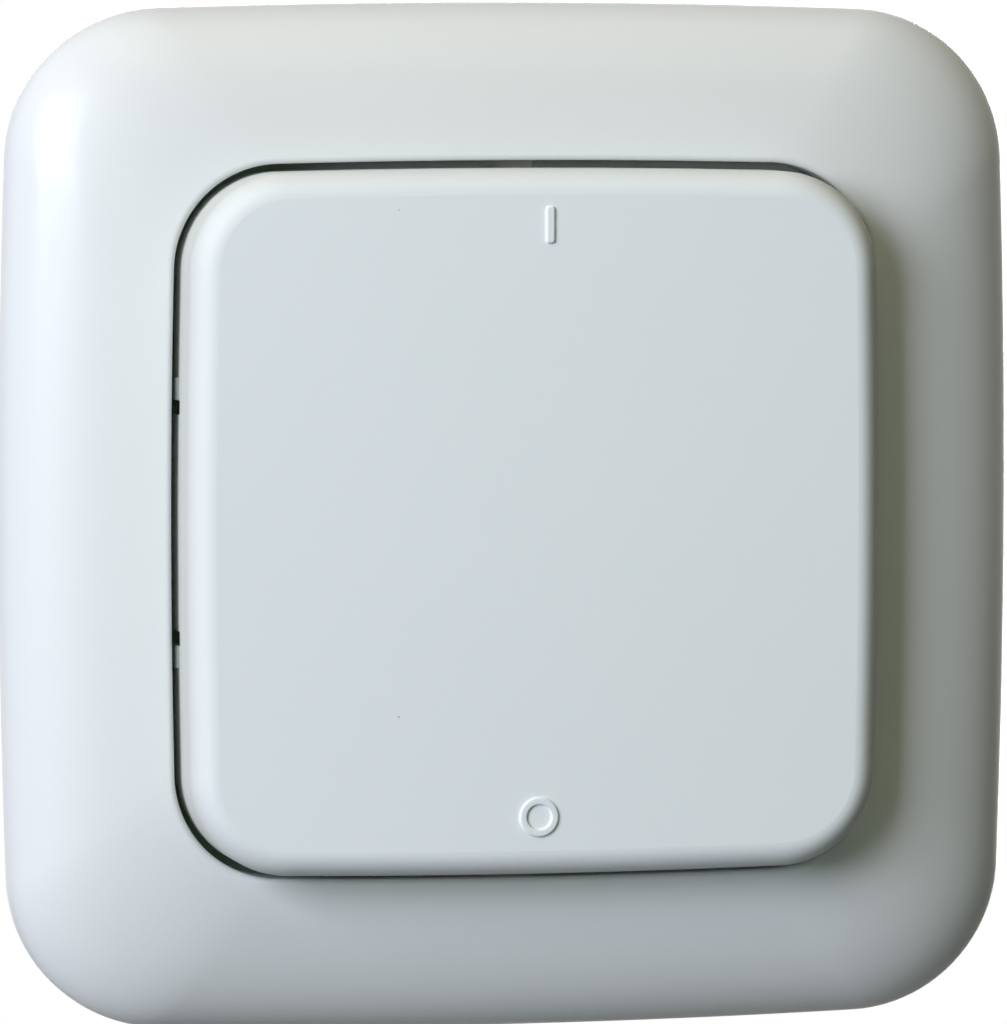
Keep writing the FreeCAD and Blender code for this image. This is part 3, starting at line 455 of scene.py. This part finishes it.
pad_sizes = ["Count", "First X", "Step X", "First Z", "Step Z", "Board face", "Length", "Width",
             "Thickness"]
tree, (count, x0, dx, z0, dz, face, length, width, thick) = new_tree("solder_pads", pad_sizes)
points = grid_of_points(tree, count.socket, 2, x0, dx, face, z0, dz)
pad = put(tree, "GeometryNodeMeshCube", {"Size": vector_of(tree, length, thick, width)}).outputs["Mesh"]
pads = put(tree, "GeometryNodeInstanceOnPoints", {"Points": points, "Instance": pad}).outputs[0]
end_tree(tree, pads, solder)
for node, blocks in (("chip_capacitors", CAPACITORS), ("chip_resistors", RESISTORS)):
    low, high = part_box(node)
    mesh = grown_mesh(tree, {"Count": 2 * blocks, "First X": low.x, "Step X": high.x - low.x,
                             "First Z": low.z + BLOCK_WIDTH / 2,
                             "Step Z": (high.z - low.z - BLOCK_WIDTH) / (blocks - 1),
                             "Board face": board_low.y, "Length": PAD_LENGTH,
                             "Width": BLOCK_WIDTH + PAD_OVERHANG, "Thickness": PAD_THICK})
    new_piece(node + "_pads", mesh, solder, "housing")

# Transmitter cover: the front half of the sender's case, in the same dark grey plastic. Its lip
# drops inside the tray, and two self-tapping screws with rolled threads hold it through the board.
SCREW_STEEL = (0.5, 0.5, 0.49)
SCREW_RADIUS = 1.0 * MM
SCREW_HEAD_RADIUS = 1.9 * MM
THREAD_DEPTH = 0.16 * MM
THREAD_TURNS = 4.0
THREAD_LENGTH = 2.2 * MM
THREAD_STEPS = 24
dress(case_plastic, "transmitter_cover")
screw_metal = rolled_metal("screw_metal", SCREW_STEEL, 0.3, (1.0, 0.2, 1.0))
dress(screw_metal, "cover_screws")
thread_sizes = ["Screw X", "Screw Z", "Tip depth", "Shank radius", "Thread depth", "Turns", "Length"]
tree, (reach, lift, tip_depth, radius, depth, turns, length) = new_tree("screw_threads", thread_sizes)
helix = put(tree, "GeometryNodeCurveSpiral", {"Resolution": THREAD_STEPS, "Rotations": turns.socket,
                                              "Height": length.socket, "Start Radius": radius.socket,
                                              "End Radius": radius.socket}).outputs[0]
ridge = put(tree, "GeometryNodeCurvePrimitiveCircle", {"Resolution": 4, "Radius": depth.socket})
thread = put(tree, "GeometryNodeCurveToMesh", {"Curve": helix, "Profile Curve": ridge.outputs[0],
                                               "Fill Caps": True})
pair = put(tree, "GeometryNodeMeshLine", {"Count": 2}).outputs[0]
across = 1 - Field(tree, put(tree, "GeometryNodeInputIndex").outputs[0]) * 2
places = vector_of(tree, reach * across, tip_depth, lift * across)
points = put(tree, "GeometryNodeSetPosition", {"Geometry": pair, "Position": places}).outputs[0]
threads = put(tree, "GeometryNodeInstanceOnPoints", {"Points": points, "Instance": thread.outputs[0],
                                                     "Rotation": (math.pi / 2, 0, 0)})
end_tree(tree, threads.outputs[0], screw_metal)
low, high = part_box("cover_screws")
mesh = grown_mesh(tree, {"Screw X": high.x - SCREW_HEAD_RADIUS, "Screw Z": high.z - SCREW_HEAD_RADIUS,
                         "Tip depth": high.y - SCREW_RADIUS / 2,
                         "Shank radius": SCREW_RADIUS - THREAD_DEPTH / 2, "Thread depth": THREAD_DEPTH,
                         "Turns": THREAD_TURNS, "Length": THREAD_LENGTH})
new_piece("cover_screw_threads", mesh, screw_metal, "housing")

# Cover frame: one moulding of glossy white plastic, domed like a pillow, with bowed sides and a
# collar round the opening. Behind it ribs stiffen the dome, a low wall centres it on the wall
# plate, and four beads on the collar snap under the plate's outer hooks.
FRAME_COLOUR = (0.757, 0.783, 0.787)
FRAME_ROUGHNESS = 0.3
FRAME_COAT = 0.12
FRAME_SPECKS = 0.06
FRAME_SIZES = {"Half width": 43.0 * MM, "Corner radius": 13.0 * MM, "Side bow radius": 887.0 * MM,
               "Rim height": 1.6 * MM, "Rim round": 0.3 * MM, "Lip height": 8.6 * MM,
               "Lip round": 0.5 * MM, "Crest inset": 4.0 * MM, "Wall": 2.0 * MM,
               "Opening half width": 29.85 * MM, "Opening corner radius": 8.85 * MM,
               "Collar wall": 1.4 * MM, "Collar foot": 3.6 * MM, "Rib thickness": 1.2 * MM,
               "Rib foot": 2.0 * MM, "Inner rib offset": 9.0 * MM, "Outer rib offset": 23.5 * MM,
               "Locator half width": 36.675 * MM, "Locator corner": 6.3 * MM, "Locator wall": 1.2 * MM,
               "Locator foot": 0.5 * MM, "Bead offset": 16.0 * MM, "Bead length": 9.0 * MM,
               "Bead depth": 0.6 * MM, "Bead height": 0.8 * MM}
SIDE_STEPS = 14
CORNER_STEPS = 22
DOME_ROWS = 36
LIP_ROWS = 8
HOLLOW_ROWS = 20
FOOT_ROWS = 4
RIBS_PER_SIDE = 4
RIB_STEPS = 14
BEADS = 4
STRAIGHT_RADIUS = 100.0
WELD = 0.002 * MM
RIB_FROM_COLLAR = 0.02 * MM
RIB_FROM_RIM = 0.45 * MM
STUB = 0.2 * MM
RAY_START = 10 * MM
RAY_LENGTH = 30 * MM
CREASE_ANGLE = math.radians(32)
POLISH_CLOUD = 22 * MM
POLISH_SHADE = 0.975
POLISH_SPECULAR = 0.25
POLISH_COAT_ROUGHNESS = 0.12
PATCH_SIZE = 9 * MM
PATCH_GLOSS = 0.04
RIPPLE_SIZE = 1.1 * MM
RIPPLE_DEPTH = 0.006 * MM
RIPPLE_STRENGTH = 0.35
SPECK_CELL = 4 * MM
SPECK_RADIUS = 0.14 * MM
SPECK_SHADE = 0.55


def bowed_band_tree():
    """Tree for one band of the frame's skin: a grid bent round a square with bowed sides.

    The sides are arcs of a large radius, the corners arcs tangent to them, and half width, height
    and corner radius may each run along the band's rows.
    """
    labels = ["Rows", "Half width", "Corner radius", "Height", "Side radius"]
    tree, (rows, half, corner_r, height, side_r) = new_tree("bowed_band", labels)
    steps = SIDE_STEPS + CORNER_STEPS
    grid = put(tree, "GeometryNodeMeshGrid", {"Size X": 1.0, "Size Y": 1.0, "Vertices X": 4 * steps + 1,
                                              "Vertices Y": (rows + 1).socket}).outputs["Mesh"]
    position = put(tree, "GeometryNodeInputPosition").outputs[0]
    across = Field(tree, put(tree, "ShaderNodeSeparateXYZ", {0: position}).outputs[0])
    column = (across * (4 * steps) + 2 * steps).math("ROUND")
    quarter = (column / steps).math("FLOOR")
    step = column - quarter * steps
    drop = side_r - half
    reach = side_r - corner_r
    corner = ((reach * reach * 2 - drop * drop).math("SQRT") - drop) / 2
    lean = (corner / reach).math("ARCSINE")
    along_side = (step / SIDE_STEPS).math("MINIMUM", 1.0)
    along_corner = ((step - SIDE_STEPS) / CORNER_STEPS).math("MAXIMUM", 0.0)
    angle = lean * (along_side * 2 - 1) + (math.pi / 2 - lean * 2) * along_corner
    on_corner = step.math("GREATER_THAN", SIDE_STEPS + 0.5)
    radius = side_r + (corner_r - side_r) * on_corner
    side_x = corner * on_corner + radius * angle.math("SINE")
    side_z = (corner + drop) * on_corner - drop + radius * angle.math("COSINE")
    turn = quarter * (math.pi / 2)
    x = side_x * turn.math("COSINE") + side_z * turn.math("SINE")
    z = side_z * turn.math("COSINE") - side_x * turn.math("SINE")
    place = vector_of(tree, x, height * -1, z)
    placed = put(tree, "GeometryNodeSetPosition", {"Geometry": grid, "Position": place}).outputs[0]
    put(tree, "NodeGroupOutput", {0: placed})
    return tree


def cover_frame_tree(material):
    """Tree for the whole cover frame: its skin as one closed band, then ribs, locator and beads."""
    tree, fields = new_tree("cover_frame_skin", list(FRAME_SIZES))
    (half, corner, bow, rim, rim_round, lip, lip_round, inset, wall, opening, opening_corner, collar_wall,
     collar_foot, rib_thick, rib_foot, rib_inner, rib_outer, locator, locator_corner, locator_wall,
     locator_foot, bead_at, bead_length, bead_depth, bead_height) = fields
    band_tree = bowed_band_tree()
    position = put(tree, "GeometryNodeInputPosition").outputs[0]
    along = Field(tree, put(tree, "ShaderNodeSeparateXYZ", {0: position}).outputs[1]) + 0.5

    def band(rows, band_half, height, corner_r, side_r):
        values = {"Rows": rows, "Half width": band_half, "Height": height, "Corner radius": corner_r,
                  "Side radius": side_r}
        inputs = {key: value.socket if isinstance(value, Field) else value
                  for key, value in values.items()}
        return put(tree, "GeometryNodeGroup", inputs, node_tree=band_tree).outputs[0]

    def skin(rows, band_half, height, corner_r):
        return band(rows, band_half, height, corner_r, bow - half + band_half)

    def between(first, last):
        return first + (last - first) * along

    def joined(parts):
        join = put(tree, "GeometryNodeJoinGeometry")
        for part in parts:
            tree.links.new(part, join.inputs[0])
        return join.outputs[0]

    def welded(strips):
        inputs = {"Geometry": joined(strips), "Distance": WELD}
        return put(tree, "GeometryNodeMergeByDistance", inputs).outputs[0]

    crest = opening - inset
    reach = half - crest
    share = inset / reach
    rise = (lip - rim) / (1 - share * share).math("SQRT")
    slope = (corner - opening_corner) / (half - opening)

    lip_centre = opening + lip_round
    lip_share = (lip_centre - crest) / reach
    lip_lean = (lip_share / reach).math("ARCTAN2", (1 - lip_share * lip_share).math("SQRT") / rise)
    touch = lip_centre + lip_round * lip_lean.math("SINE")
    touch_angle = ((touch - crest) / reach).math("ARCCOSINE")
    lip_centre_height = rim + rise * touch_angle.math("SINE") - lip_round * lip_lean.math("COSINE")

    dome_angle = along * touch_angle
    dome_half = crest + reach * dome_angle.math("COSINE")
    lip_angle = between(math.pi / 2 - lip_lean, math.pi)
    lip_half = lip_centre + lip_round * lip_angle.math("COSINE")
    foot_angle = (along - 1) * (math.pi / 2)
    foot_half = half - rim_round + rim_round * foot_angle.math("COSINE")
    flat_foot_half = between(half - wall, half - rim_round)

    collar = opening + collar_wall
    collar_corner = opening_corner + collar_wall
    hollow_reach = reach - wall
    hollow_rise = rise - wall
    hollow_start = ((collar - crest) / hollow_reach).math("ARCCOSINE")
    hollow_angle = hollow_start * (1 - along)
    hollow_half = crest + hollow_reach * hollow_angle.math("COSINE")
    hollow_slope = (corner - wall - collar_corner) / (half - wall - collar)
    collar_half = between(opening, collar)

    bands = [
        skin(DOME_ROWS, dome_half, rim + rise * dome_angle.math("SINE"),
             opening_corner + (dome_half - opening) * slope),
        skin(LIP_ROWS, lip_half, lip_centre_height + lip_round * lip_angle.math("SINE"),
             opening_corner + (lip_half - opening) * slope),
        skin(4, opening, between(lip_centre_height, collar_foot), opening_corner),
        skin(1, collar_half, collar_foot, opening_corner + collar_half - opening),
        skin(3, collar, between(collar_foot, rim + hollow_rise * hollow_start.math("SINE")),
             collar_corner),
        skin(HOLLOW_ROWS, hollow_half, rim + hollow_rise * hollow_angle.math("SINE"),
             collar_corner + (hollow_half - collar) * hollow_slope),
        skin(2, half - wall, rim * (1 - along), corner - wall),
        skin(1, flat_foot_half, 0.0, corner - half + flat_foot_half),
        skin(FOOT_ROWS, foot_half, rim_round + rim_round * foot_angle.math("SINE"),
             corner - half + foot_half),
        skin(2, half, between(rim_round, rim), corner),
    ]
    shell = welded(bands)

    line = put(tree, "GeometryNodeMeshLine", {"Count": 4 * RIBS_PER_SIDE}).outputs[0]
    index = Field(tree, put(tree, "GeometryNodeInputIndex").outputs[0])
    quarter = (index / RIBS_PER_SIDE).math("FLOOR")
    place = index - quarter * RIBS_PER_SIDE - (RIBS_PER_SIDE - 1) / 2
    far = place.math("ABSOLUTE").math("GREATER_THAN", 1.0)
    offset = (rib_inner + (rib_outer - rib_inner) * far) * place.math("SIGN")
    turn = quarter * (math.pi / 2)
    rib_place = vector_of(tree, offset * turn.math("COSINE"), 0.0, offset * turn.math("SINE") * -1)
    rib_points = put(tree, "GeometryNodeSetPosition", {"Geometry": line, "Position": rib_place})
    rib_start = collar + RIB_FROM_COLLAR
    rib_end = half - wall - RIB_FROM_RIM
    rib_size = vector_of(tree, rib_thick, STUB, rib_end - rib_start)
    rib_middle = vector_of(tree, 0.0, rib_foot * -1 - STUB / 2, (rib_start + rib_end) / 2)
    rib = put(tree, "GeometryNodeMeshCube", {"Size": rib_size, "Vertices Z": RIB_STEPS}).outputs["Mesh"]
    rib = put(tree, "GeometryNodeTransform", {"Geometry": rib, "Translation": rib_middle}).outputs[0]
    ribs = put(tree, "GeometryNodeInstanceOnPoints", {"Points": rib_points.outputs[0], "Instance": rib,
                                                      "Rotation": vector_of(tree, 0.0, turn, 0.0)})
    ribs = put(tree, "GeometryNodeRealizeInstances", {"Geometry": ribs.outputs[0]}).outputs[0]

    locator_out = between(locator, locator + locator_wall)
    locator_in = between(locator + locator_wall, locator)
    top = locator_foot + STUB
    ring = welded([
        band(1, locator, between(top, locator_foot), locator_corner, STRAIGHT_RADIUS),
        band(1, locator_out, locator_foot, locator_corner + locator_out - locator, STRAIGHT_RADIUS),
        band(1, locator + locator_wall, between(locator_foot, top), locator_corner + locator_wall,
             STRAIGHT_RADIUS),
        band(1, locator_in, top, locator_corner + locator_in - locator, STRAIGHT_RADIUS),
    ])

    def up_to_dome(geometry, foot):
        """Moves the upper points of a wall up into the dome's underside."""
        now = put(tree, "ShaderNodeSeparateXYZ", {0: position}).outputs
        start = put(tree, "ShaderNodeCombineXYZ", {"X": now["X"], "Y": RAY_START, "Z": now["Z"]})
        cast = put(tree, "GeometryNodeRaycast", {"Target Geometry": shell,
                                                 "Source Position": start.outputs[0],
                                                 "Ray Direction": (0, -1, 0), "Ray Length": RAY_LENGTH})
        half_wall = vector_of(tree, 0.0, wall * -0.5, 0.0)
        sunk = put(tree, "ShaderNodeVectorMath", {0: cast.outputs["Hit Position"], 1: half_wall},
                   operation="ADD").outputs[0]
        upper = (Field(tree, now["Y"]) * -1).math("GREATER_THAN", foot + STUB / 2)
        return put(tree, "GeometryNodeSetPosition", {"Geometry": geometry, "Selection": upper.socket,
                                                     "Position": sunk}).outputs[0]

    bead_size = vector_of(tree, bead_length, bead_height, bead_depth * 2)
    bead = put(tree, "GeometryNodeMeshCube", {"Size": bead_size}).outputs["Mesh"]
    corners = put(tree, "GeometryNodeMeshLine", {"Count": BEADS}).outputs[0]
    side_x = (index / 2).math("FLOOR") * 2 - 1
    side_z = index.math("MODULO", 2.0) * 2 - 1
    sag = bead_at * bead_at / (bow * 2)
    bead_place = vector_of(tree, side_x * bead_at, collar_foot * -1 - bead_height / 2,
                           side_z * (collar - sag))
    beads = put(tree, "GeometryNodeSetPosition", {"Geometry": corners, "Position": bead_place}).outputs[0]
    beads = put(tree, "GeometryNodeInstanceOnPoints", {"Points": beads, "Instance": bead}).outputs[0]

    whole = joined([shell, up_to_dome(ribs, rib_foot), up_to_dome(ring, locator_foot), beads])
    end_tree(tree, whole, material)
    return tree


def polished_white(name, colour, roughness, coat, speck_share):
    """White plastic with the faint ripple of its mould and a few specks of dust.

    Gives the material, its tree, the piece's coordinates and the dusty colour, to build on.
    """
    material, tree, shader, place = new_finish(name)
    clouded = cloud(tree, place, POLISH_CLOUD, 3.0)
    tone = blend_colours(tree, clouded, darker(colour, POLISH_SHADE), colour)
    cells = put(tree, "ShaderNodeTexVoronoi", {"Vector": place, "Scale": 1 / SPECK_CELL}).outputs
    near = put(tree, "ShaderNodeMath", {0: cells["Distance"], 1: SPECK_RADIUS / SPECK_CELL},
               operation="LESS_THAN").outputs[0]
    chance = put(tree, "ShaderNodeSeparateColor", {0: cells["Color"]}).outputs[0]
    chosen = put(tree, "ShaderNodeMath", {0: chance, 1: speck_share}, operation="LESS_THAN").outputs[0]
    speck = put(tree, "ShaderNodeMath", {0: near, 1: chosen}, operation="MULTIPLY").outputs[0]
    dusty = blend_colours(tree, speck, tone, darker(colour, SPECK_SHADE))
    tree.links.new(dusty, shader.inputs["Base Color"])
    patches = cloud(tree, place, PATCH_SIZE)
    gloss = put(tree, "ShaderNodeMapRange", {"Value": patches, "To Min": roughness - PATCH_GLOSS,
                                             "To Max": roughness + PATCH_GLOSS}).outputs[0]
    tree.links.new(gloss, shader.inputs["Roughness"])
    shader.inputs["Specular IOR Level"].default_value = POLISH_SPECULAR
    shader.inputs["Coat Weight"].default_value = coat
    shader.inputs["Coat Roughness"].default_value = POLISH_COAT_ROUGHNESS
    raise_grain(tree, shader, cloud(tree, place, RIPPLE_SIZE), RIPPLE_DEPTH, RIPPLE_STRENGTH)
    return material, tree, place, dusty


frame_plastic, *_ = polished_white("frame_plastic", FRAME_COLOUR, FRAME_ROUGHNESS, FRAME_COAT,
                                   FRAME_SPECKS)
frame_mesh = grown_mesh(cover_frame_tree(frame_plastic), FRAME_SIZES)
form = bmesh.new()
form.from_mesh(frame_mesh)
bmesh.ops.recalc_face_normals(form, faces=form.faces)
for face in form.faces:
    face.smooth = True
form.to_mesh(frame_mesh)
form.free()
frame_mesh.set_sharp_from_angle(angle=CREASE_ANGLE)
cover = new_piece("cover_frame_skin", frame_mesh, frame_plastic, "housing")
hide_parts("cover_frame")

# Rocker: one moulding of white plastic, more satin than the frame, with a raised bar and a raised
# ring as its marks. Two tongues in its skirt snap over the case's bearing bosses. Painted shade:
# its rounded edges get a greyer base colour than its face, most at the sides, to dim the lamps'
# light on them, and its small side ribs in the gaps a darker grey, standing in for their shade.
ROCKER_COLOUR = (0.84, 0.887, 0.907)
# Painted shade colour of the rocker's rounded edges.
EDGE_SHADE_COLOUR = (0.62, 0.635, 0.605)
# Painted shade colour of the rocker's small side ribs in the gaps.
RIB_SHADE_COLOUR = (0.33, 0.42, 0.41)
MARK_RISE = 0.22 * MM
EDGE_ROUND = 2.1 * MM
EDGE_SHADE_FROM = 20 * MM
EDGE_SHADE_TO = 28 * MM
EDGE_SHADE_LEAST = 0.3
RIB_FACE = 29.26 * MM
ROCKER_ROUGHNESS = 0.6
ROCKER_COAT = 0.0
ROCKER_SPECKS = 0.05
rocker_plastic, tree, place, dusty = polished_white("rocker_plastic", ROCKER_COLOUR, ROCKER_ROUGHNESS,
                                                    ROCKER_COAT, ROCKER_SPECKS)
spot = put(tree, "ShaderNodeSeparateXYZ", {0: place}).outputs
distance = put(tree, "ShaderNodeMath", {0: spot["X"]}, operation="ABSOLUTE").outputs[0]
face_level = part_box("rocker")[0].y + MARK_RISE
depth = put(tree, "ShaderNodeMapRange", {"Value": spot["Y"], "From Min": face_level,
                                         "From Max": face_level + EDGE_ROUND}).outputs[0]
on_edge = put(tree, "ShaderNodeMath", {0: depth}, operation="SQRT").outputs[0]
to_side = put(tree, "ShaderNodeMapRange", {"Value": distance, "From Min": EDGE_SHADE_FROM,
                                           "From Max": EDGE_SHADE_TO,
                                           "To Min": EDGE_SHADE_LEAST}).outputs[0]
edge_shade_share = put(tree, "ShaderNodeMath", {0: on_edge, 1: to_side}, operation="MULTIPLY").outputs[0]
# Painted shade: the rounded edges blend towards a greyer colour, most at the sides.
tone = blend_colours(tree, edge_shade_share, dusty, EDGE_SHADE_COLOUR)
# Painted shade: the small side ribs beyond this distance get a dark grey base colour.
rib_shade_mask = put(tree, "ShaderNodeMath", {0: distance, 1: RIB_FACE}, operation="GREATER_THAN").outputs[0]
tone = blend_colours(tree, rib_shade_mask, tone, RIB_SHADE_COLOUR)
tree.links.new(tone, tree.nodes["Principled BSDF"].inputs["Base Color"])
dress(rocker_plastic, "rocker")

# Stage: a white studio with a pale floor below the switch, and a card in the plate's thickness that
# closes its openings as a wall does and glows faintly, as painted light. A large soft lamp stands at
# the upper left, a weak warm one above, a faint green one by the camera and one behind; the camera's
# long lens looks from the left.
AIM = Vector((-0.09 * MM, 0, 0.1 * MM))
CAMERA_AZIMUTH = math.radians(12.158)
CAMERA_ELEVATION = math.radians(3.629)
CAMERA_ROLL = math.radians(0.086)
CAMERA_DISTANCE = 700 * MM
LENS = 292.6
FLOOR_DROP = 75 * MM
FLOOR_SIZE = 1.6
FLOOR_BACK = 200 * MM
FLOOR_COLOUR = (0.86, 0.86, 0.85)
SHEET_FIBRE = 30 * MM
SHEET_SHADE = 0.98
SHEET_ROUGHNESS = 0.8
CARD_COLOUR = (0.75, 0.75, 0.73)
CARD_HALF = 34 * MM
CARD_DEPTH = 0.9 * MM
# Strength of the card's painted glow.
CARD_PAINTED_GLOW = 0.04
BOUNCE_SHARE = 0.1

scene = bpy.context.scene
scene.view_settings.view_transform = "Standard"


def stage_sheet(name, corners, colour):
    """Flat sheet of painted board that belongs to the studio."""
    paint, tree, shader, place = new_finish(name + "_paint")
    fibre = cloud(tree, place, SHEET_FIBRE, 3.0)
    seen = blend_colours(tree, fibre, darker(colour, SHEET_SHADE), colour)
    bounced = put(tree, "ShaderNodeLightPath").outputs["Is Diffuse Ray"]
    tone = blend_colours(tree, bounced, seen, darker(colour, BOUNCE_SHARE))
    tree.links.new(tone, shader.inputs["Base Color"])
    shader.inputs["Roughness"].default_value = SHEET_ROUGHNESS
    mesh = bpy.data.meshes.new(name)
    mesh.from_pydata(corners, [], [(0, 1, 2, 3)])
    mesh.materials.append(paint)
    sheet = bpy.data.objects.new(name, mesh)
    scene.collection.objects.link(sheet)
    return tree, shader


edge = FLOOR_SIZE / 2
floor_corners = [(-edge, -edge), (edge, -edge), (edge, FLOOR_BACK), (-edge, FLOOR_BACK)]
stage_sheet("floor", [(x, y, -FLOOR_DROP) for x, y in floor_corners], FLOOR_COLOUR)
card_corners = [(-CARD_HALF, -CARD_HALF), (CARD_HALF, -CARD_HALF), (CARD_HALF, CARD_HALF),
                (-CARD_HALF, CARD_HALF)]
tree, shader = stage_sheet("wall_card", [(x, -CARD_DEPTH, z) for x, z in card_corners], CARD_COLOUR)
# Painted light: the card glows faintly, though it is no lamp, so the openings seen through the gaps are
# not black.
shader.inputs["Emission Color"].default_value = (*CARD_COLOUR, 1.0)
shader.inputs["Emission Strength"].default_value = CARD_PAINTED_GLOW
from_behind = put(tree, "ShaderNodeNewGeometry").outputs["Backfacing"]
clear = put(tree, "ShaderNodeBsdfTransparent").outputs[0]
one_way = put(tree, "ShaderNodeMixShader", {0: from_behind, 1: shader.outputs[0], 2: clear}).outputs[0]
tree.links.new(one_way, tree.nodes["Material Output"].inputs["Surface"])


def soft_lamp(name, place, size, power, colour):
    """Square soft lamp that stands at a place seen from the switch and faces it."""
    lamp = bpy.data.objects.new(name, bpy.data.lights.new(name, "AREA"))
    lamp.data.shape = "SQUARE"
    lamp.data.size = size
    lamp.data.energy = power
    lamp.data.color = colour
    lamp.location = AIM + place
    lamp.rotation_euler = (-place).to_track_quat("-Z", "Y").to_euler()
    scene.collection.objects.link(lamp)


for name, place_mm, size_mm, power, tint in (
        ("key_lamp", (-652, -538, 265), 500, 9.15, (0.872, 0.898, 1.0)),
        ("top_lamp", (0, -200, 450), 400, 0.69, (1.0, 0.88, 0.53)),
        ("room_lamp", (-170, -760, 70), 200, 0.16, (0.3, 1.0, 0.3)),
        ("rear_lamp", (200, 700, 120), 500, 4.5, (1.0, 1.0, 1.0))):
    soft_lamp(name, Vector(place_mm) * MM, size_mm * MM, power, tint)

world = bpy.data.worlds.new("studio")
scene.world = world
world.use_nodes = True
tree = world.node_tree
rays = put(tree, "ShaderNodeLightPath").outputs
seen = rays["Is Camera Ray"]
for ray in ("Is Glossy Ray", "Is Transmission Ray"):
    seen = put(tree, "ShaderNodeMath", {0: seen, 1: rays[ray]}, operation="MAXIMUM").outputs[0]
tree.links.new(seen, tree.nodes["Background"].inputs["Strength"])
tree.nodes["Background"].inputs["Color"].default_value = (1, 1, 1, 1)

camera = bpy.data.objects.new("photo_camera", bpy.data.cameras.new("photo_camera"))
camera.data.lens = LENS
view = Vector((math.sin(CAMERA_AZIMUTH) * math.cos(CAMERA_ELEVATION),
               math.cos(CAMERA_AZIMUTH) * math.cos(CAMERA_ELEVATION), -math.sin(CAMERA_ELEVATION)))
camera.location = AIM - view * CAMERA_DISTANCE
camera.rotation_mode = "QUATERNION"
camera.rotation_quaternion = view.to_track_quat("-Z", "Y") @ Quaternion((0, 0, 1), CAMERA_ROLL)
camera.data.clip_start = 0.01
scene.collection.objects.link(camera)
scene.camera = camera
